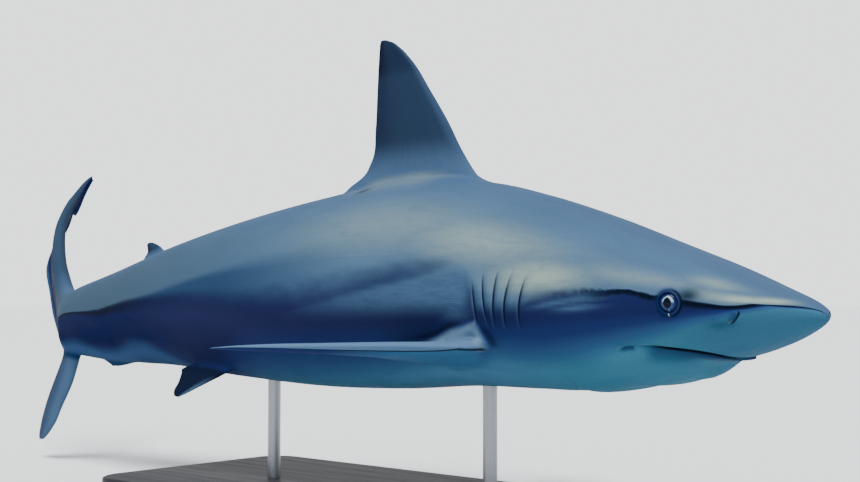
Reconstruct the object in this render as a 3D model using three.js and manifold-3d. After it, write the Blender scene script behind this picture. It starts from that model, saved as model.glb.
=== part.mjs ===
// A sandbar shark, life size, as a still display model held on a plain stand by two rods.
//
// Millimetres, +Z up. The origin is the middle of the stand's underside, the head points
// along +X and the animal's right side faces -Y.
//
// The animal is drawn in body coordinates, in hundredths of its total length:
//   s  station, measured tailward from the snout along the bent backbone
//   w  distance to the animal's right of the backbone
//   h  height above the backbone
// The function place() carries them into millimetres along the bend of the swimming body.

import * as THREE from 'three';
import { mergeVertices } from 'three/addons/utils/BufferGeometryUtils.js';
import Module from 'manifold-3d';

const wasm = await Module();
wasm.setup();

// ---------------------------------------------------------------- driving dimensions

const SHARK_LENGTH = 1800;
const U = SHARK_LENGTH / 100;
const GAP = 0.3;                 // clearance between nodes that touch, in millimetres
const GAP_U = GAP / U;

const SNOUT_HEIGHT = 262;        // backbone height at the snout, above the floor
const BALANCE_STATION = 37;      // station that stands over the middle of the base
const BANK = THREE.MathUtils.degToRad(2.28);
const RISE_SLOPE = 0.0425;       // the backbone climbs behind the snout ...
const RISE_CURVE = -7.19e-4;     // ... and sinks again towards the tail

const BASE_LENGTH = 760;
const BASE_WIDTH = 360;
const BASE_THICKNESS = 25;
const BASE_CORNER = 45;
const BASE_BEVEL = 4;
const ROD_RADIUS = 9;
const ROD_STATIONS = { front: 25, rear: 46.5 };
const ROD_SPARE = 27;            // a rod is made this much too long, then cut to the belly

// Where the body is parted into its named lengths.
const HEAD_END = 22.7;
const TRUNK_MIDDLE = 42;
const TRUNK_END = 58;
const TAIL_END = 75;

const AROUND = 40;               // corners of one body section

// ---------------------------------------------------------------- small tools

const Z_AXIS = new THREE.Vector3(0, 0, 1);
const mix = THREE.MathUtils.lerp;
const ease = (x, from, to) => THREE.MathUtils.smoothstep(x, from, to);
const signedPower = (x, power) => Math.sign(x) * Math.abs(x) ** power;

// A smooth curve through [x, y] knots, level past its ends.
function smoothCurve(knots) {
  const slope = knots.slice(1).map(([x, y], i) => (y - knots[i][1]) / (x - knots[i][0]));
  const tangent = knots.map(([x], i) => {
    if (i === 0) return slope[0];
    if (i === knots.length - 1) return slope[i - 1];
    const before = x - knots[i - 1][0];
    const after = knots[i + 1][0] - x;
    return (slope[i] * before + slope[i - 1] * after) / (before + after);
  });
  return (x) => {
    let i = 0;
    while (i < knots.length - 2 && x > knots[i + 1][0]) i += 1;
    const [x0, y0] = knots[i];
    const [x1, y1] = knots[i + 1];
    const t = THREE.MathUtils.clamp((x - x0) / (x1 - x0), 0, 1);
    const a = tangent[i] * (x1 - x0);
    const b = tangent[i + 1] * (x1 - x0);
    const bend = 3 * (y1 - y0) - 2 * a - b;
    const twist = a + b - 2 * (y1 - y0);
    return y0 + t * (a + t * (bend + t * twist));
  };
}

// The same, for knots of the form [x, [a, b, c]].
function smoothCurves(knots) {
  const curves = knots[0][1].map((_, k) => smoothCurve(knots.map(([x, values]) => [x, values[k]])));
  return (x) => curves.map((curve) => curve(x));
}

function spaced(from, to, count) {
  return Array.from({ length: count + 1 }, (_, i) => mix(from, to, i / count));
}

// A closed three.js geometry as a solid.
function solidOf(geometry) {
  const bare = geometry.index ? geometry.clone() : geometry;
  bare.deleteAttribute('normal');
  bare.deleteAttribute('uv');
  const merged = mergeVertices(bare, 1e-4);
  return new wasm.Manifold(new wasm.Mesh({
    numProp: 3,
    vertProperties: new Float32Array(merged.attributes.position.array),
    triVerts: new Uint32Array(merged.index.array),
  }));
}

// Skins a row of closed rings of points, or single points at the ends, into a solid.
// Corners j and n - j of a ring are partners on opposite faces, and both faces are split
// into triangles alike.
function loft(rows) {
  const points = rows.flat();
  const starts = [];
  rows.reduce((at, row) => { starts.push(at); return at + row.length; }, 0);
  const triangles = [];
  for (let i = 0; i + 1 < rows.length; i += 1) {
    const [a, b] = [starts[i], starts[i + 1]];
    const n = Math.max(rows[i].length, rows[i + 1].length);
    for (let j = 0; j < n; j += 1) {
      const k = (j + 1) % n;
      if (rows[i].length === 1) triangles.push(a, b + j, b + k);
      else if (rows[i + 1].length === 1) triangles.push(a + j, b, a + k);
      else if (j < n / 2) triangles.push(a + j, b + j, b + k, a + j, b + k, a + k);
      else triangles.push(a + j, b + j, a + k, a + k, b + j, b + k);
    }
  }
  for (const end of [0, rows.length - 1]) {
    const n = rows[end].length;
    const at = starts[end];
    const cap = (p, q, r) => triangles.push(...(end ? [at + p, at + r, at + q] : [at + p, at + q, at + r]));
    for (let j = 0; n > 2 && j < Math.ceil(n / 2); j += 1) {
      const low = (n - j) % n;
      const next = n - j - 1;
      if (j > 0) cap(j, j + 1, low);
      if (j + 1 < next) cap(j + 1, next, low);
    }
  }
  const geometry = new THREE.BufferGeometry().setFromPoints(points);
  geometry.setIndex(triangles);
  const solid = solidOf(geometry);
  if (solid.volume() > 0) return solid;
  geometry.setIndex(triangles.toReversed());
  return solidOf(geometry);
}

// A node keeps only its largest closed surface.
function largest(solid) {
  return solid.decompose().reduce((best, piece) => (piece.volume() > best.volume() ? piece : best));
}

// ---------------------------------------------------------------- backbone

// How far the backbone points away from straight tailward, in degrees, towards the left.
const heading = smoothCurve([
  [0, 4.09], [20, 0.78], [40, -2.95], [60, -0.03], [75, 6.6], [86, 38.6], [100, 90],
]);
const TRACK_STEP = 0.25;
const track = [new THREE.Vector2(0, 0)];
for (let s = 0; s < 100; s += TRACK_STEP) {
  const turn = THREE.MathUtils.degToRad(heading(s + TRACK_STEP / 2));
  const step = new THREE.Vector2(-Math.cos(turn), Math.sin(turn)).multiplyScalar(TRACK_STEP);
  track.push(track.at(-1).clone().add(step));
}

function backbone(s) {
  const at = THREE.MathUtils.clamp(s, 0, 100) / TRACK_STEP;
  const i = Math.min(Math.floor(at), track.length - 2);
  return track[i].clone().lerp(track[i + 1], at - i);
}

const middle = backbone(BALANCE_STATION);

function place(s, w, h) {
  const turn = THREE.MathUtils.degToRad(heading(s));
  const spot = backbone(s).sub(middle);
  const side = w * Math.cos(BANK) - h * Math.sin(BANK);
  const up = w * Math.sin(BANK) + h * Math.cos(BANK) + RISE_SLOPE * s + RISE_CURVE * s * s;
  return new THREE.Vector3(
    (spot.x - Math.sin(turn) * side) * U,
    (spot.y - Math.cos(turn) * side) * U,
    SNOUT_HEIGHT + up * U,
  );
}

// ---------------------------------------------------------------- body sections

// Profiles are read against the square root of the station, which rounds the snout.
const byRoot = (knots) => {
  const curve = smoothCurve(knots.map(([s, value]) => [Math.sqrt(s), value]));
  return (s) => curve(Math.sqrt(s));
};

const backHeight = byRoot([
  [0, 0], [1, 0.84], [3, 1.6], [6.3, 2.86], [10, 4.12], [15, 5.85], [20, 7.33], [26, 8.67],
  [32, 9.07], [40, 8.32], [50, 7.02], [60, 5.36], [68, 3.81], [76, 2.6],
]);
const bellyHeight = byRoot([
  [0, 0], [1, -0.92], [3, -1.88], [5.9, -2.8], [8, -3.2], [10, -3.5], [12, -4.3], [14, -5.02],
  [16, -5.4], [20, -5.57], [26, -5.7], [32, -6.15], [40, -6.26], [50, -5.62], [60, -4.62],
  [64, -4.45], [68, -4.2], [72, -3.7], [76, -3.2],
]);
const halfWidth = byRoot([
  [0, 0], [0.25, 0.84], [1, 1.9], [3, 3.5], [6.3, 4.8], [10, 5.5], [15, 6.2], [20, 6.6], [26, 6.8], [32, 6.7],
  [40, 6.1], [50, 4.8], [60, 3.5], [68, 2.6], [76, 1.7],
]);
// Height of the widest line, and how sharply the upper face meets it.
const widestHeight = byRoot([
  [0, 0], [1, 0.2], [3, 0.45], [6, 0.45], [10, 0.3], [20, 0], [40, -0.3], [60, 0], [76, 0],
]);
const edgeSharpness = byRoot([
  [0, 1], [1, 1.25], [3.2, 1.32], [5.5, 1.12], [8, 1.02], [14, 1], [76, 1],
]);
// Below 1 the underside is flat and full, at 1 it is an ellipse.
const bellyFullness = byRoot([
  [0, 1], [2, 0.9], [6, 0.72], [14, 0.74], [20, 0.85], [40, 0.9], [60, 1], [76, 1],
]);
const UNDERSIDE_POWER = 1.08;    // rounds the belly line a little less than an ellipse does

// The throat and lower jaw, a second form under the head.
const JAW_FRONT = 5.6;
const JAW_BACK = 11.3;
const THROAT_BACK = 17.5;
const throatHeight = smoothCurve([
  [JAW_FRONT, -2.862], [6.05, -2.924], [6.4, -3.013], [6.9, -3.124], [7.8, -4.02], [9, -4.35], [10, -4.6],
  [12.5, -4.93], [15, -5.15], [THROAT_BACK, -5.2],
]);
const MOUTH_CORNER = 9.98;
const CORNER_WIDTH = 4.3;
const JAW_BLUNTNESS = 0.245;     // below 0.5 the jaw's front is blunter than a parabola
const throatRear = smoothCurve([
  [MOUTH_CORNER, CORNER_WIDTH], [12, 4.5], [15, 3.9], [THROAT_BACK, 2.8],
]);

function throatWidth(s) {
  if (s > MOUTH_CORNER) return throatRear(s);
  return CORNER_WIDTH * Math.max((s - JAW_FRONT) / (MOUTH_CORNER - JAW_FRONT), 0) ** JAW_BLUNTNESS;
}

// The jaw is widest where it meets the head, so that it tucks in below the mouth line.
const throatMiddle = smoothCurve([
  [JAW_FRONT, -2.747], [8, -2.6], [10, -2.45], [13, -3.1], [THROAT_BACK, -3.6],
]);

// Above 1 the section is pointed along the middle, so the chin's thin front edge hugs the head.
const throatFullness = smoothCurve([
  [JAW_FRONT, 1.689], [6.4, 1.576], [7.1, 1.193], [8, 1.078], [9.5, 0.82], [THROAT_BACK, 0.82],
]);

const bodyShape = (s) => ({
  top: backHeight(s), bottom: bellyHeight(s), half: halfWidth(s), middle: widestHeight(s),
  edge: edgeSharpness(s), full: bellyFullness(s),
});
const THROAT_TOP = -1.2;         // hidden inside the head
const throatShape = (s) => ({
  top: THROAT_TOP, bottom: throatHeight(s), half: throatWidth(s), middle: throatMiddle(s), edge: 1,
  full: throatFullness(s),
});

// A point of a section: angle 0 is the back, a quarter turn the right side, half a turn the belly.
function sectionPoint(shape, angle, grow = 0) {
  const c = Math.cos(angle);
  const upper = c > 0;
  const reach = (upper ? shape.top - shape.middle : shape.middle - shape.bottom) + grow;
  return {
    w: (shape.half + grow) * signedPower(Math.sin(angle), upper ? 1 : shape.full),
    h: shape.middle + reach * signedPower(c, upper ? shape.edge : UNDERSIDE_POWER),
  };
}

// The angle of the section where its right side is at height h.
function angleAt(s, h) {
  const { top, bottom, middle: widest, edge } = bodyShape(s);
  if (h >= widest) return Math.acos(((h - widest) / (top - widest)) ** (1 / edge));
  return Math.PI - Math.acos(((widest - h) / (widest - bottom)) ** (1 / UNDERSIDE_POWER));
}

function ring(shape, s, count, grow = 0) {
  return Array.from({ length: count }, (_, j) => {
    const { w, h } = sectionPoint(shape, (2 * Math.PI * j) / count, grow);
    return place(s, w, h);
  });
}

const BODY_STATIONS = [
  0.04, 0.2, 0.5, 1, 1.7, 2.6, ...spaced(3.5, 27, 24), ...spaced(29, 75, 23), 76.6,
];

function bodySolid(grow = 0) {
  const rows = BODY_STATIONS.map((s) => ring(bodyShape(s), s, AROUND, grow));
  return loft([[place(0, 0, 0)], ...rows]);
}

const THROAT_STATIONS = [
  5.615, 5.66, 5.76, 5.95, 6.2, 6.5, 6.85, 7.15, 7.5, 8.1, 8.9, 9.8, 10.7, 11.6, 12.8, 14, 15.3, 16.5,
  THROAT_BACK,
];
const THROAT_AROUND = 28;

function throatSolid() {
  return loft(THROAT_STATIONS.map((s) => ring(throatShape(s), s, THROAT_AROUND)));
}

// A spot of the skin: its point, outward normal and tailward direction.
function skinSpot(s, angle, side = 1) {
  const point = (ds, da) => {
    const { w, h } = sectionPoint(bodyShape(s + ds), angle + da);
    return place(s + ds, side * w, h);
  };
  const at = point(0, 0);
  const along = point(0.05, 0).sub(point(-0.05, 0)).normalize();
  const across = point(0, 0.02).sub(point(0, -0.02)).normalize();
  const normal = new THREE.Vector3().crossVectors(along, across).normalize();
  const outward = at.clone().sub(place(s, 0, bodyShape(s).middle));
  if (normal.dot(outward) < 0) normal.negate();
  return { at, normal, along };
}

// The direction in the skin that lies across a row of spots, at spot i.
function acrossRow(spots, i) {
  const before = spots[Math.max(i - 1, 0)].at;
  const after = spots[Math.min(i + 1, spots.length - 1)].at;
  const run = after.clone().sub(before).normalize();
  return new THREE.Vector3().crossVectors(run, spots[i].normal).normalize();
}

// A bar swept along spots of the skin. Its profile is a ring of [tailward, outward] points in
// millimetres, scaled by size(t) along the way.
function sweptOnSkin(spots, profile, size) {
  const rows = spots.map(({ at, normal, along }, i) => {
    const across = acrossRow(spots, i);
    if (across.dot(along) < 0) across.negate();
    const scale = size(i / (spots.length - 1));
    return profile.map(([tailward, outward]) => at.clone()
      .addScaledVector(across, tailward * scale)
      .addScaledVector(normal, outward > 0 ? outward : outward * scale));
  });
  return loft(rows);
}

// ---------------------------------------------------------------- head

// Gill slits: station at the top, middle and foot, and the heights of top and foot.
const GILL_SLITS = [
  [17.05, 17.43, 17.5, 1.65, -1.55],
  [18.15, 18.57, 18.62, 1.85, -1.7],
  [19.32, 19.47, 19.47, 1.85, -1.65],
  [20.47, 20.26, 19.96, 1.7, -1.6],
  [21.25, 20.99, 20.85, 1.12, -1.55],
];
const GILL_DEPTH = 6;
const FLAP_RUN = 15;
const BEYOND = 8;                // how far a cutter stands out of the skin

// Each slit drops at once behind the edge of its flap and runs out over the next one.
function gillCutter([topS, midS, footS, topH, footH], side) {
  const spots = spaced(0, 1, 6).map((t) => {
    const s = (1 - t) * (1 - 2 * t) * topS + 4 * t * (1 - t) * midS + t * (2 * t - 1) * footS;
    return skinSpot(s, angleAt(s, mix(topH, footH, t)), side);
  });
  const profile = [[0, BEYOND], [0.2, -GILL_DEPTH], [1.6, -GILL_DEPTH], [FLAP_RUN, -0.1], [FLAP_RUN, BEYOND]];
  return sweptOnSkin(spots, profile, (t) => 0.25 + 0.75 * Math.sin(Math.PI * t) ** 0.5);
}

const EYE = { s: 7.26, h: 0.26, radius: 15.5, opening: 10.9, sink: 0.7 };
const LID = { thickness: 2.2, spread: 0.9, lift: 0.3 };

function eyeFrame(side) {
  const { at, normal } = skinSpot(EYE.s, angleAt(EYE.s, EYE.h), side);
  return { at, normal, turn: new THREE.Quaternion().setFromUnitVectors(Z_AXIS, normal) };
}

function eyeCentre(side) {
  const { at, normal } = eyeFrame(side);
  const depth = Math.sqrt(EYE.radius ** 2 - EYE.opening ** 2) + EYE.sink;
  return at.clone().addScaledVector(normal, -depth);
}

function eyeBall(side, grow = 0) {
  const ball = new THREE.SphereGeometry(EYE.radius + grow, 20, 13);
  ball.rotateX(Math.PI / 2).applyQuaternion(eyeFrame(side).turn).translate(...eyeCentre(side));
  return solidOf(ball);
}

// The lids are one raised rim round the opening.
function lidRim(side) {
  const { at, normal, turn } = eyeFrame(side);
  const rim = new THREE.TorusGeometry(EYE.opening + LID.spread, LID.thickness, 6, 24);
  rim.applyQuaternion(turn).translate(...at.clone().addScaledVector(normal, LID.lift - EYE.sink / 2));
  return solidOf(rim);
}

const NOSTRIL = { front: [3.45, 0.02], back: [4.1, -0.82], bow: 0.14, width: 2.6, depth: 7 };
const NOSTRIL_FLAP = { radius: 2.6, length: 8, flatness: 0.42, forward: 2.4, sink: 0.9 };

function nostrilSpots(side) {
  return spaced(0, 1, 6).map((t) => {
    const bow = NOSTRIL.bow * Math.sin(Math.PI * t);
    const s = mix(NOSTRIL.front[0], NOSTRIL.back[0], t) - bow;
    return skinSpot(s, angleAt(s, mix(NOSTRIL.front[1], NOSTRIL.back[1], t)), side);
  });
}

function nostrilCutter(side) {
  const half = NOSTRIL.width / 2;
  const profile = [[-half, BEYOND], [-half, -NOSTRIL.depth], [half, -NOSTRIL.depth], [half, BEYOND]];
  return sweptOnSkin(nostrilSpots(side), profile, (t) => 0.35 + 0.65 * Math.sin(Math.PI * t) ** 0.6);
}

// A small pointed flap grows from the nostril's front edge and half covers it.
function nostrilFlap(side) {
  const { at, normal, along } = nostrilSpots(side)[4];
  const flap = new THREE.ConeGeometry(NOSTRIL_FLAP.radius, NOSTRIL_FLAP.length, 10);
  flap.scale(NOSTRIL_FLAP.flatness, 1, 1).rotateX(Math.PI / 2).rotateY(Math.PI / 2);
  const across = new THREE.Vector3().crossVectors(normal, along);
  flap.applyMatrix4(new THREE.Matrix4().makeBasis(along, across, normal));
  at.addScaledVector(along, -NOSTRIL_FLAP.forward).addScaledVector(normal, -NOSTRIL_FLAP.sink);
  return solidOf(flap.translate(...at));
}

// The lip's radius at the corners and in the middle, how far it sinks in, and its distance
// outside the jaw.
const LIP = { thin: 0.8, full: 2.3, sink: 0.45, out: -0.02 };

// The mouth line is where the jaw's sides meet the underside of the head: t runs from -1 at
// the left corner to 1 at the right one.
function mouthSpot(t) {
  const s = JAW_FRONT + (MOUTH_CORNER - JAW_FRONT) * Math.abs(t) ** 3;
  const shape = bodyShape(s);
  const w = Math.max(throatWidth(s) + LIP.out, 0);
  const sine = Math.min(w / shape.half, 1) ** (1 / shape.full);
  return skinSpot(s, Math.PI - Math.asin(sine), Math.sign(t) || 1);
}

// A soft lip of the upper jaw follows the mouth line from corner to corner.
function upperLip() {
  const spots = spaced(-1.02, 1.02, 42).map(mouthSpot);
  const sides = spaced(0, 2 * Math.PI, 6).slice(0, -1);
  const rows = spots.map(({ at, normal }, i) => {
    const across = acrossRow(spots, i);
    const radius = mix(LIP.thin, LIP.full, Math.sin((Math.PI * (i + 1)) / (spots.length + 1)) ** 0.5);
    return sides.map((angle) => at.clone()
      .addScaledVector(across, radius * Math.cos(angle))
      .addScaledVector(normal, radius * (Math.sin(angle) - LIP.sink)));
  });
  return loft(rows);
}

// A short furrow runs back from each corner of the mouth.
const FURROW = { front: [9.8, -2.5], back: [11.2, -2.62], bow: 0.14, halfWidth: 1.6, depth: 3.4 };

function cornerFurrow(side) {
  const spots = spaced(0, 1, 5).map((t) => {
    const s = mix(FURROW.front[0], FURROW.back[0], t);
    const h = mix(FURROW.front[1], FURROW.back[1], t) + FURROW.bow * Math.sin(Math.PI * t);
    return skinSpot(s, angleAt(s, h), side);
  });
  const profile = [[-FURROW.halfWidth, BEYOND], [0, -FURROW.depth], [FURROW.halfWidth, BEYOND]];
  return sweptOnSkin(spots, profile, (t) => 0.3 + 0.7 * Math.sin(Math.PI * t));
}

// ---------------------------------------------------------------- fins

// Half thickness along a chord, 0 at the leading edge and 1 at the trailing edge: a round
// nose, fullest a third of the way back, thinning to a fine edge.
function finProfile(c) {
  const full = 2.6 * Math.sqrt(c) * (1 - c) ** 0.9;
  return Math.min(full, 1) * mix(1, 0.98, c);
}

const CHORD_STEPS = [0, 0.03, 0.09, 0.18, 0.32, 0.5, 0.7, 0.86, 1];

// A fin blade from spanwise rows. Each row has a leading point, a trailing point, the
// direction of its thickness, all in body coordinates, and its half thickness.
function finBlade(rows, edge = 0.03) {
  const last = CHORD_STEPS.length - 1;
  const rings = rows.map(({ lead, trail, up, half }) => {
    const at = (c, side) => {
      const thick = side * Math.max(half * finProfile(c), c === 0 || c === 1 ? 0 : edge);
      return place(...lead.map((value, k) => mix(value, trail[k], c) + up[k] * thick));
    };
    return [
      ...CHORD_STEPS.map((c) => at(c, 1)),
      ...CHORD_STEPS.slice(1, last).reverse().map((c) => at(c, -1)),
    ];
  });
  return loft(rings);
}

// Rows along a fin. Knots are [t, [leading point, trailing point, half thickness]] flattened.
function finRows(knots, steps, up) {
  const curve = smoothCurves(knots);
  return steps.map((t) => {
    const v = curve(t);
    return { lead: v.slice(0, 3), trail: v.slice(3, 6), half: v[6], up };
  });
}

const SIDEWAYS = [0, 1, 0];

// Upright fins: knots are [height, leading station, trailing station, half thickness].
function uprightFin(knots, steps) {
  const full = knots.map(([h, leadS, trailS, half]) => [h, [leadS, 0, h, trailS, 0, h, half]]);
  return finBlade(finRows(full, steps, SIDEWAYS));
}

function firstDorsal() {
  return uprightFin([
    [7.6, 23.9, 38, 1.1], [8.35, 24.9, 40, 0.8], [8.65, 25.6, 39.55, 0.7], [9.1, 26.5, 38.75, 0.6],
    [9.6, 27, 37.75, 0.54], [10.7, 27.85, 36.85, 0.48], [13.3, 29.5, 36.48, 0.42],
    [15.6, 31.15, 36.42, 0.36], [18.1, 33.05, 36.36, 0.27], [19.3, 34.35, 36.3, 0.19],
    [19.78, 35.1, 36.25, 0.12], [20, 35.75, 36.15, 0.05],
  ], [
    7.6, 8.1, 8.35, 8.5, 8.65, 8.85, 9.1, 9.35, 9.8, 10.3, 11, 12, 13.2, 14.4, 15.6, 16.8, 18,
    18.9, 19.5, 19.82, 20,
  ]);
}

function secondDorsal() {
  return uprightFin([
    [4, 59.8, 63.6, 0.36], [4.75, 60.5, 64.4, 0.22], [5, 60.8, 64.05, 0.2], [5.25, 61.05, 63.7, 0.18],
    [5.65, 61.7, 63.68, 0.15], [6, 62.5, 63.75, 0.1], [6.16, 63.05, 63.6, 0.04],
  ], [4, 4.55, 4.75, 4.9, 5.05, 5.25, 5.45, 5.7, 5.9, 6.05, 6.16]);
}

function analFin() {
  return uprightFin([
    [-4.68, 67.6, 68.1, 0.04], [-4.64, 66.8, 68.4, 0.09], [-4.52, 65.6, 68.5, 0.14],
    [-4.32, 64.4, 69.1, 0.17],
    [-4.08, 63.5, 69.8, 0.2], [-3.88, 63, 69.2, 0.24], [-2.9, 62.2, 67.6, 0.4],
  ], [-4.68, -4.665, -4.62, -4.52, -4.42, -4.3, -4.18, -4.04, -3.88, -3.4, -2.9]);
}

// The pectoral fin reaches out, back and a little down. Knots run from inside the body out.
const PECTORAL_KNOTS = [
  [0, [19.4, 3.6, -1.9, 25.2, 3.4, -3.2, 1.8]],
  [0.1, [20.1, 5.6, -2.55, 25.7, 4.9, -3.8, 1.15]],
  [0.17, [20.55, 6.35, -2.8, 27.8, 6.1, -4.1, 0.72]],
  [0.23, [20.95, 7.05, -2.9, 28.15, 7.15, -3.98, 0.58]],
  [0.31, [21.6, 8, -2.95, 27.9, 8.5, -3.83, 0.5]],
  [0.5, [23.6, 10.7, -3, 28.4, 11.3, -3.68, 0.38]],
  [0.7, [26.5, 13.9, -3.14, 29.7, 14.4, -3.56, 0.28]],
  [0.86, [29.2, 16.6, -3.27, 31.25, 16.95, -3.52, 0.2]],
  [0.95, [31, 18.1, -3.38, 32.2, 18.35, -3.5, 0.12]],
  [1, [32.05, 18.92, -3.46, 32.45, 19, -3.48, 0.05]],
];
const PECTORAL_STEPS = [
  0, 0.05, 0.1, 0.135, 0.17, 0.2, 0.23, 0.27, 0.31, 0.38, 0.45, 0.52, 0.59, 0.66, 0.73, 0.8, 0.86,
  0.91, 0.95, 0.98, 1,
];
const PECTORAL_UP = [0.12, 0.06, 0.99];

const PELVIC_KNOTS = [
  [0, [47, 1.3, -4, 52.2, 0.9, -3.9, 0.6]],
  [0.2, [48, 2.35, -4.8, 53.6, 1.95, -4.5, 0.36]],
  [0.35, [48.8, 2.75, -5.25, 54.6, 2.6, -4.95, 0.28]],
  [0.5, [49.8, 3.1, -5.72, 54.3, 3, -5.4, 0.24]],
  [0.75, [51.6, 3.6, -6.55, 54, 3.55, -6.2, 0.17]],
  [0.93, [52.75, 3.95, -7.1, 53.95, 3.98, -6.9, 0.1]],
  [1, [53.25, 4.08, -7.3, 53.75, 4.1, -7.2, 0.04]],
];
const PELVIC_STEPS = [0, 0.1, 0.2, 0.27, 0.35, 0.42, 0.5, 0.62, 0.75, 0.85, 0.93, 1];
const PELVIC_UP = [0, 0.84, 0.54];

// The left pelvic fin is held flatter than the right one, turned about its root.
const PELVIC_SPREAD = { right: 0, left: 42 };
const PELVIC_ROOT = new THREE.Vector2(2.35, -4.75);

// A fin of the right side, turned by spread degrees about root and mirrored for the left.
function pairedFin(knots, steps, up, side, spread = 0, root = new THREE.Vector2()) {
  const turn = THREE.MathUtils.degToRad(spread);
  const turned = ([s, w, h], centre) => {
    const spot = new THREE.Vector2(w, h).rotateAround(centre, turn);
    return [s, side * spot.x, spot.y];
  };
  return finBlade(finRows(knots, steps, up).map(({ lead, trail, half, up: thick }) => ({
    lead: turned(lead, root),
    trail: turned(trail, root),
    up: turned(thick, new THREE.Vector2()),
    half,
  })));
}

// ---------------------------------------------------------------- tail fin

// The upper lobe carries on from the body: upper and lower margins and half thickness.
const lobeTop = smoothCurve([
  [74, 2.95], [75, 2.72], [76, 2.7], [77, 3.1], [78.5, 4.3], [80.4, 5.85], [86.8, 10.77],
  [91.5, 14.4], [94.1, 16.45], [94.6, 16.75],
]);
const lobeBottom = smoothCurve([
  [74, -3.45], [75, -3.3], [76.3, -3.1], [77.5, -2.5], [79, -0.9], [81.4, 1.4], [84.4, 4.4], [88, 8.3],
  [89.9, 11], [90.5, 12], [91, 11.9], [91.7, 12.5], [93, 14.3], [94.2, 15.8], [94.6, 16.3],
]);
const lobeHalf = smoothCurve([
  [74, 1.9], [75, 1.79], [76.5, 1.3], [78, 0.95], [80, 0.78], [84, 0.62], [88, 0.5], [92, 0.32], [94.6, 0.1],
]);
const LOBE_STATIONS = [
  ...spaced(TAIL_END, 80.8, 7), ...spaced(82.2, 88.6, 4), 89.5, 90.5, 91, 91.7, 92.6, 93.4, 94.1, 94.6,
];
// How far the lobe's lower edge and its upper edge bend to the right.
const lobeCurl = smoothCurve([
  [75, 0], [80, 0.25], [83, 0.45], [86, 1], [87.5, 0.85], [89.5, -0.1], [91, -0.25], [94.6, -0.25],
]);
const lobeLean = smoothCurve([[76, 0], [80, -0.15], [84, -0.22], [88, 0], [94.6, 0]]);
const LOBE_AROUND = 24;

// The fleshy part of the lobe runs along its upper third and thins to a fine lower edge.
function lobeRing(s, grow = 0) {
  const top = lobeTop(s) + grow;
  const bottom = lobeBottom(s) - grow;
  const blend = ease(s, TAIL_END, 80);
  return Array.from({ length: LOBE_AROUND }, (_, j) => {
    const angle = (2 * Math.PI * j) / LOBE_AROUND;
    const onMargin = j % (LOBE_AROUND / 2) === 0;
    const q = (1 - Math.cos(angle)) / 2;
    const round = Math.abs(Math.sin(angle));
    const blade = Math.max(Math.min(2.3 * Math.sqrt(q), 1) * (1 - q) ** 0.8 * 1.2, 0.12);
    const half = onMargin ? 0 : (lobeHalf(s) + grow) * mix(round, blade, blend);
    const bend = lobeCurl(s) * q * q + lobeLean(s) * (1 - q);
    return place(s, Math.sign(Math.sin(angle)) * half + bend, mix(top, bottom, q));
  });
}

function upperLobe(grow = 0) {
  return loft(LOBE_STATIONS.map((s) => lobeRing(s, grow)));
}

// Knots of the lower lobe: height, leading s and w, trailing s and w, half thickness.
const LOWER_LOBE_KNOTS = [
  [-11.42, 80.9, 0.6, 82, 0.8, 0.08], [-11.1, 80.15, 0.5, 82.2, 0.82, 0.15],
  [-10.1, 78.5, 0.32, 82, 0.76, 0.22], [-8.3, 77, 0.16, 81, 0.58, 0.3],
  [-6, 75.2, 0.04, 79.4, 0.28, 0.4], [-4.3, 74.5, 0, 78.1, 0.1, 0.5],
  [-3.3, 74.1, 0, 77.5, 0, 0.56], [-1, 74.6, 0, 78, 0, 0.7], [1, 76, 0, 79, 0, 0.7],
];
const LOWER_LOBE_STEPS = [
  -11.42, -11.3, -11.1, -10.7, -9.9, -8.9, -7.8, -6.7, -5.6, -4.8, -4.1, -3.5, -2.9, -2, -0.6, 1,
];

function lowerLobe() {
  const knots = LOWER_LOBE_KNOTS.map(([h, leadS, leadW, trailS, trailW, half]) => (
    [h, [leadS, leadW, h, trailS, trailW, h, half]]));
  return finBlade(finRows(knots, LOWER_LOBE_STEPS, SIDEWAYS));
}

// ---------------------------------------------------------------- stand

function standBase() {
  const outline = new THREE.Shape();
  const [x, y, r] = [BASE_LENGTH / 2 - BASE_BEVEL, BASE_WIDTH / 2 - BASE_BEVEL, BASE_CORNER - BASE_BEVEL];
  outline.moveTo(-x + r, -y);
  outline.lineTo(x - r, -y).absarc(x - r, -y + r, r, -Math.PI / 2, 0);
  outline.lineTo(x, y - r).absarc(x - r, y - r, r, 0, Math.PI / 2);
  outline.lineTo(-x + r, y).absarc(-x + r, y - r, r, Math.PI / 2, Math.PI);
  outline.lineTo(-x, -y + r).absarc(-x + r, -y + r, r, Math.PI, Math.PI * 1.5);
  return new THREE.ExtrudeGeometry(outline, {
    depth: BASE_THICKNESS - 2 * BASE_BEVEL, curveSegments: 6,
    bevelEnabled: true, bevelThickness: BASE_BEVEL, bevelSize: BASE_BEVEL, bevelSegments: 2,
  }).translate(0, 0, BASE_BEVEL);
}

// A rod stands on the base and is cut to the belly it carries.
function standRod(station, grownBody) {
  const foot = place(station, 0, bellyHeight(station));
  const bottom = BASE_THICKNESS + GAP;
  const height = foot.z + ROD_SPARE - bottom;
  const rod = new THREE.CylinderGeometry(ROD_RADIUS, ROD_RADIUS, height, 32);
  rod.rotateX(Math.PI / 2).translate(foot.x, foot.y, bottom + height / 2);
  return largest(solidOf(rod).subtract(grownBody));
}

// ---------------------------------------------------------------- assembly

const SKIN_BACK = '#5f7f95';
const SKIN_FLANK = '#3d5a80';
const SKIN_FIN = '#4a6a85';
const EYE_DARK = '#1c3355';
const BASE_PAINT = '#22262b';
const ROD_STEEL = '#b4b9be';

const shark = new THREE.Group();

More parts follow.
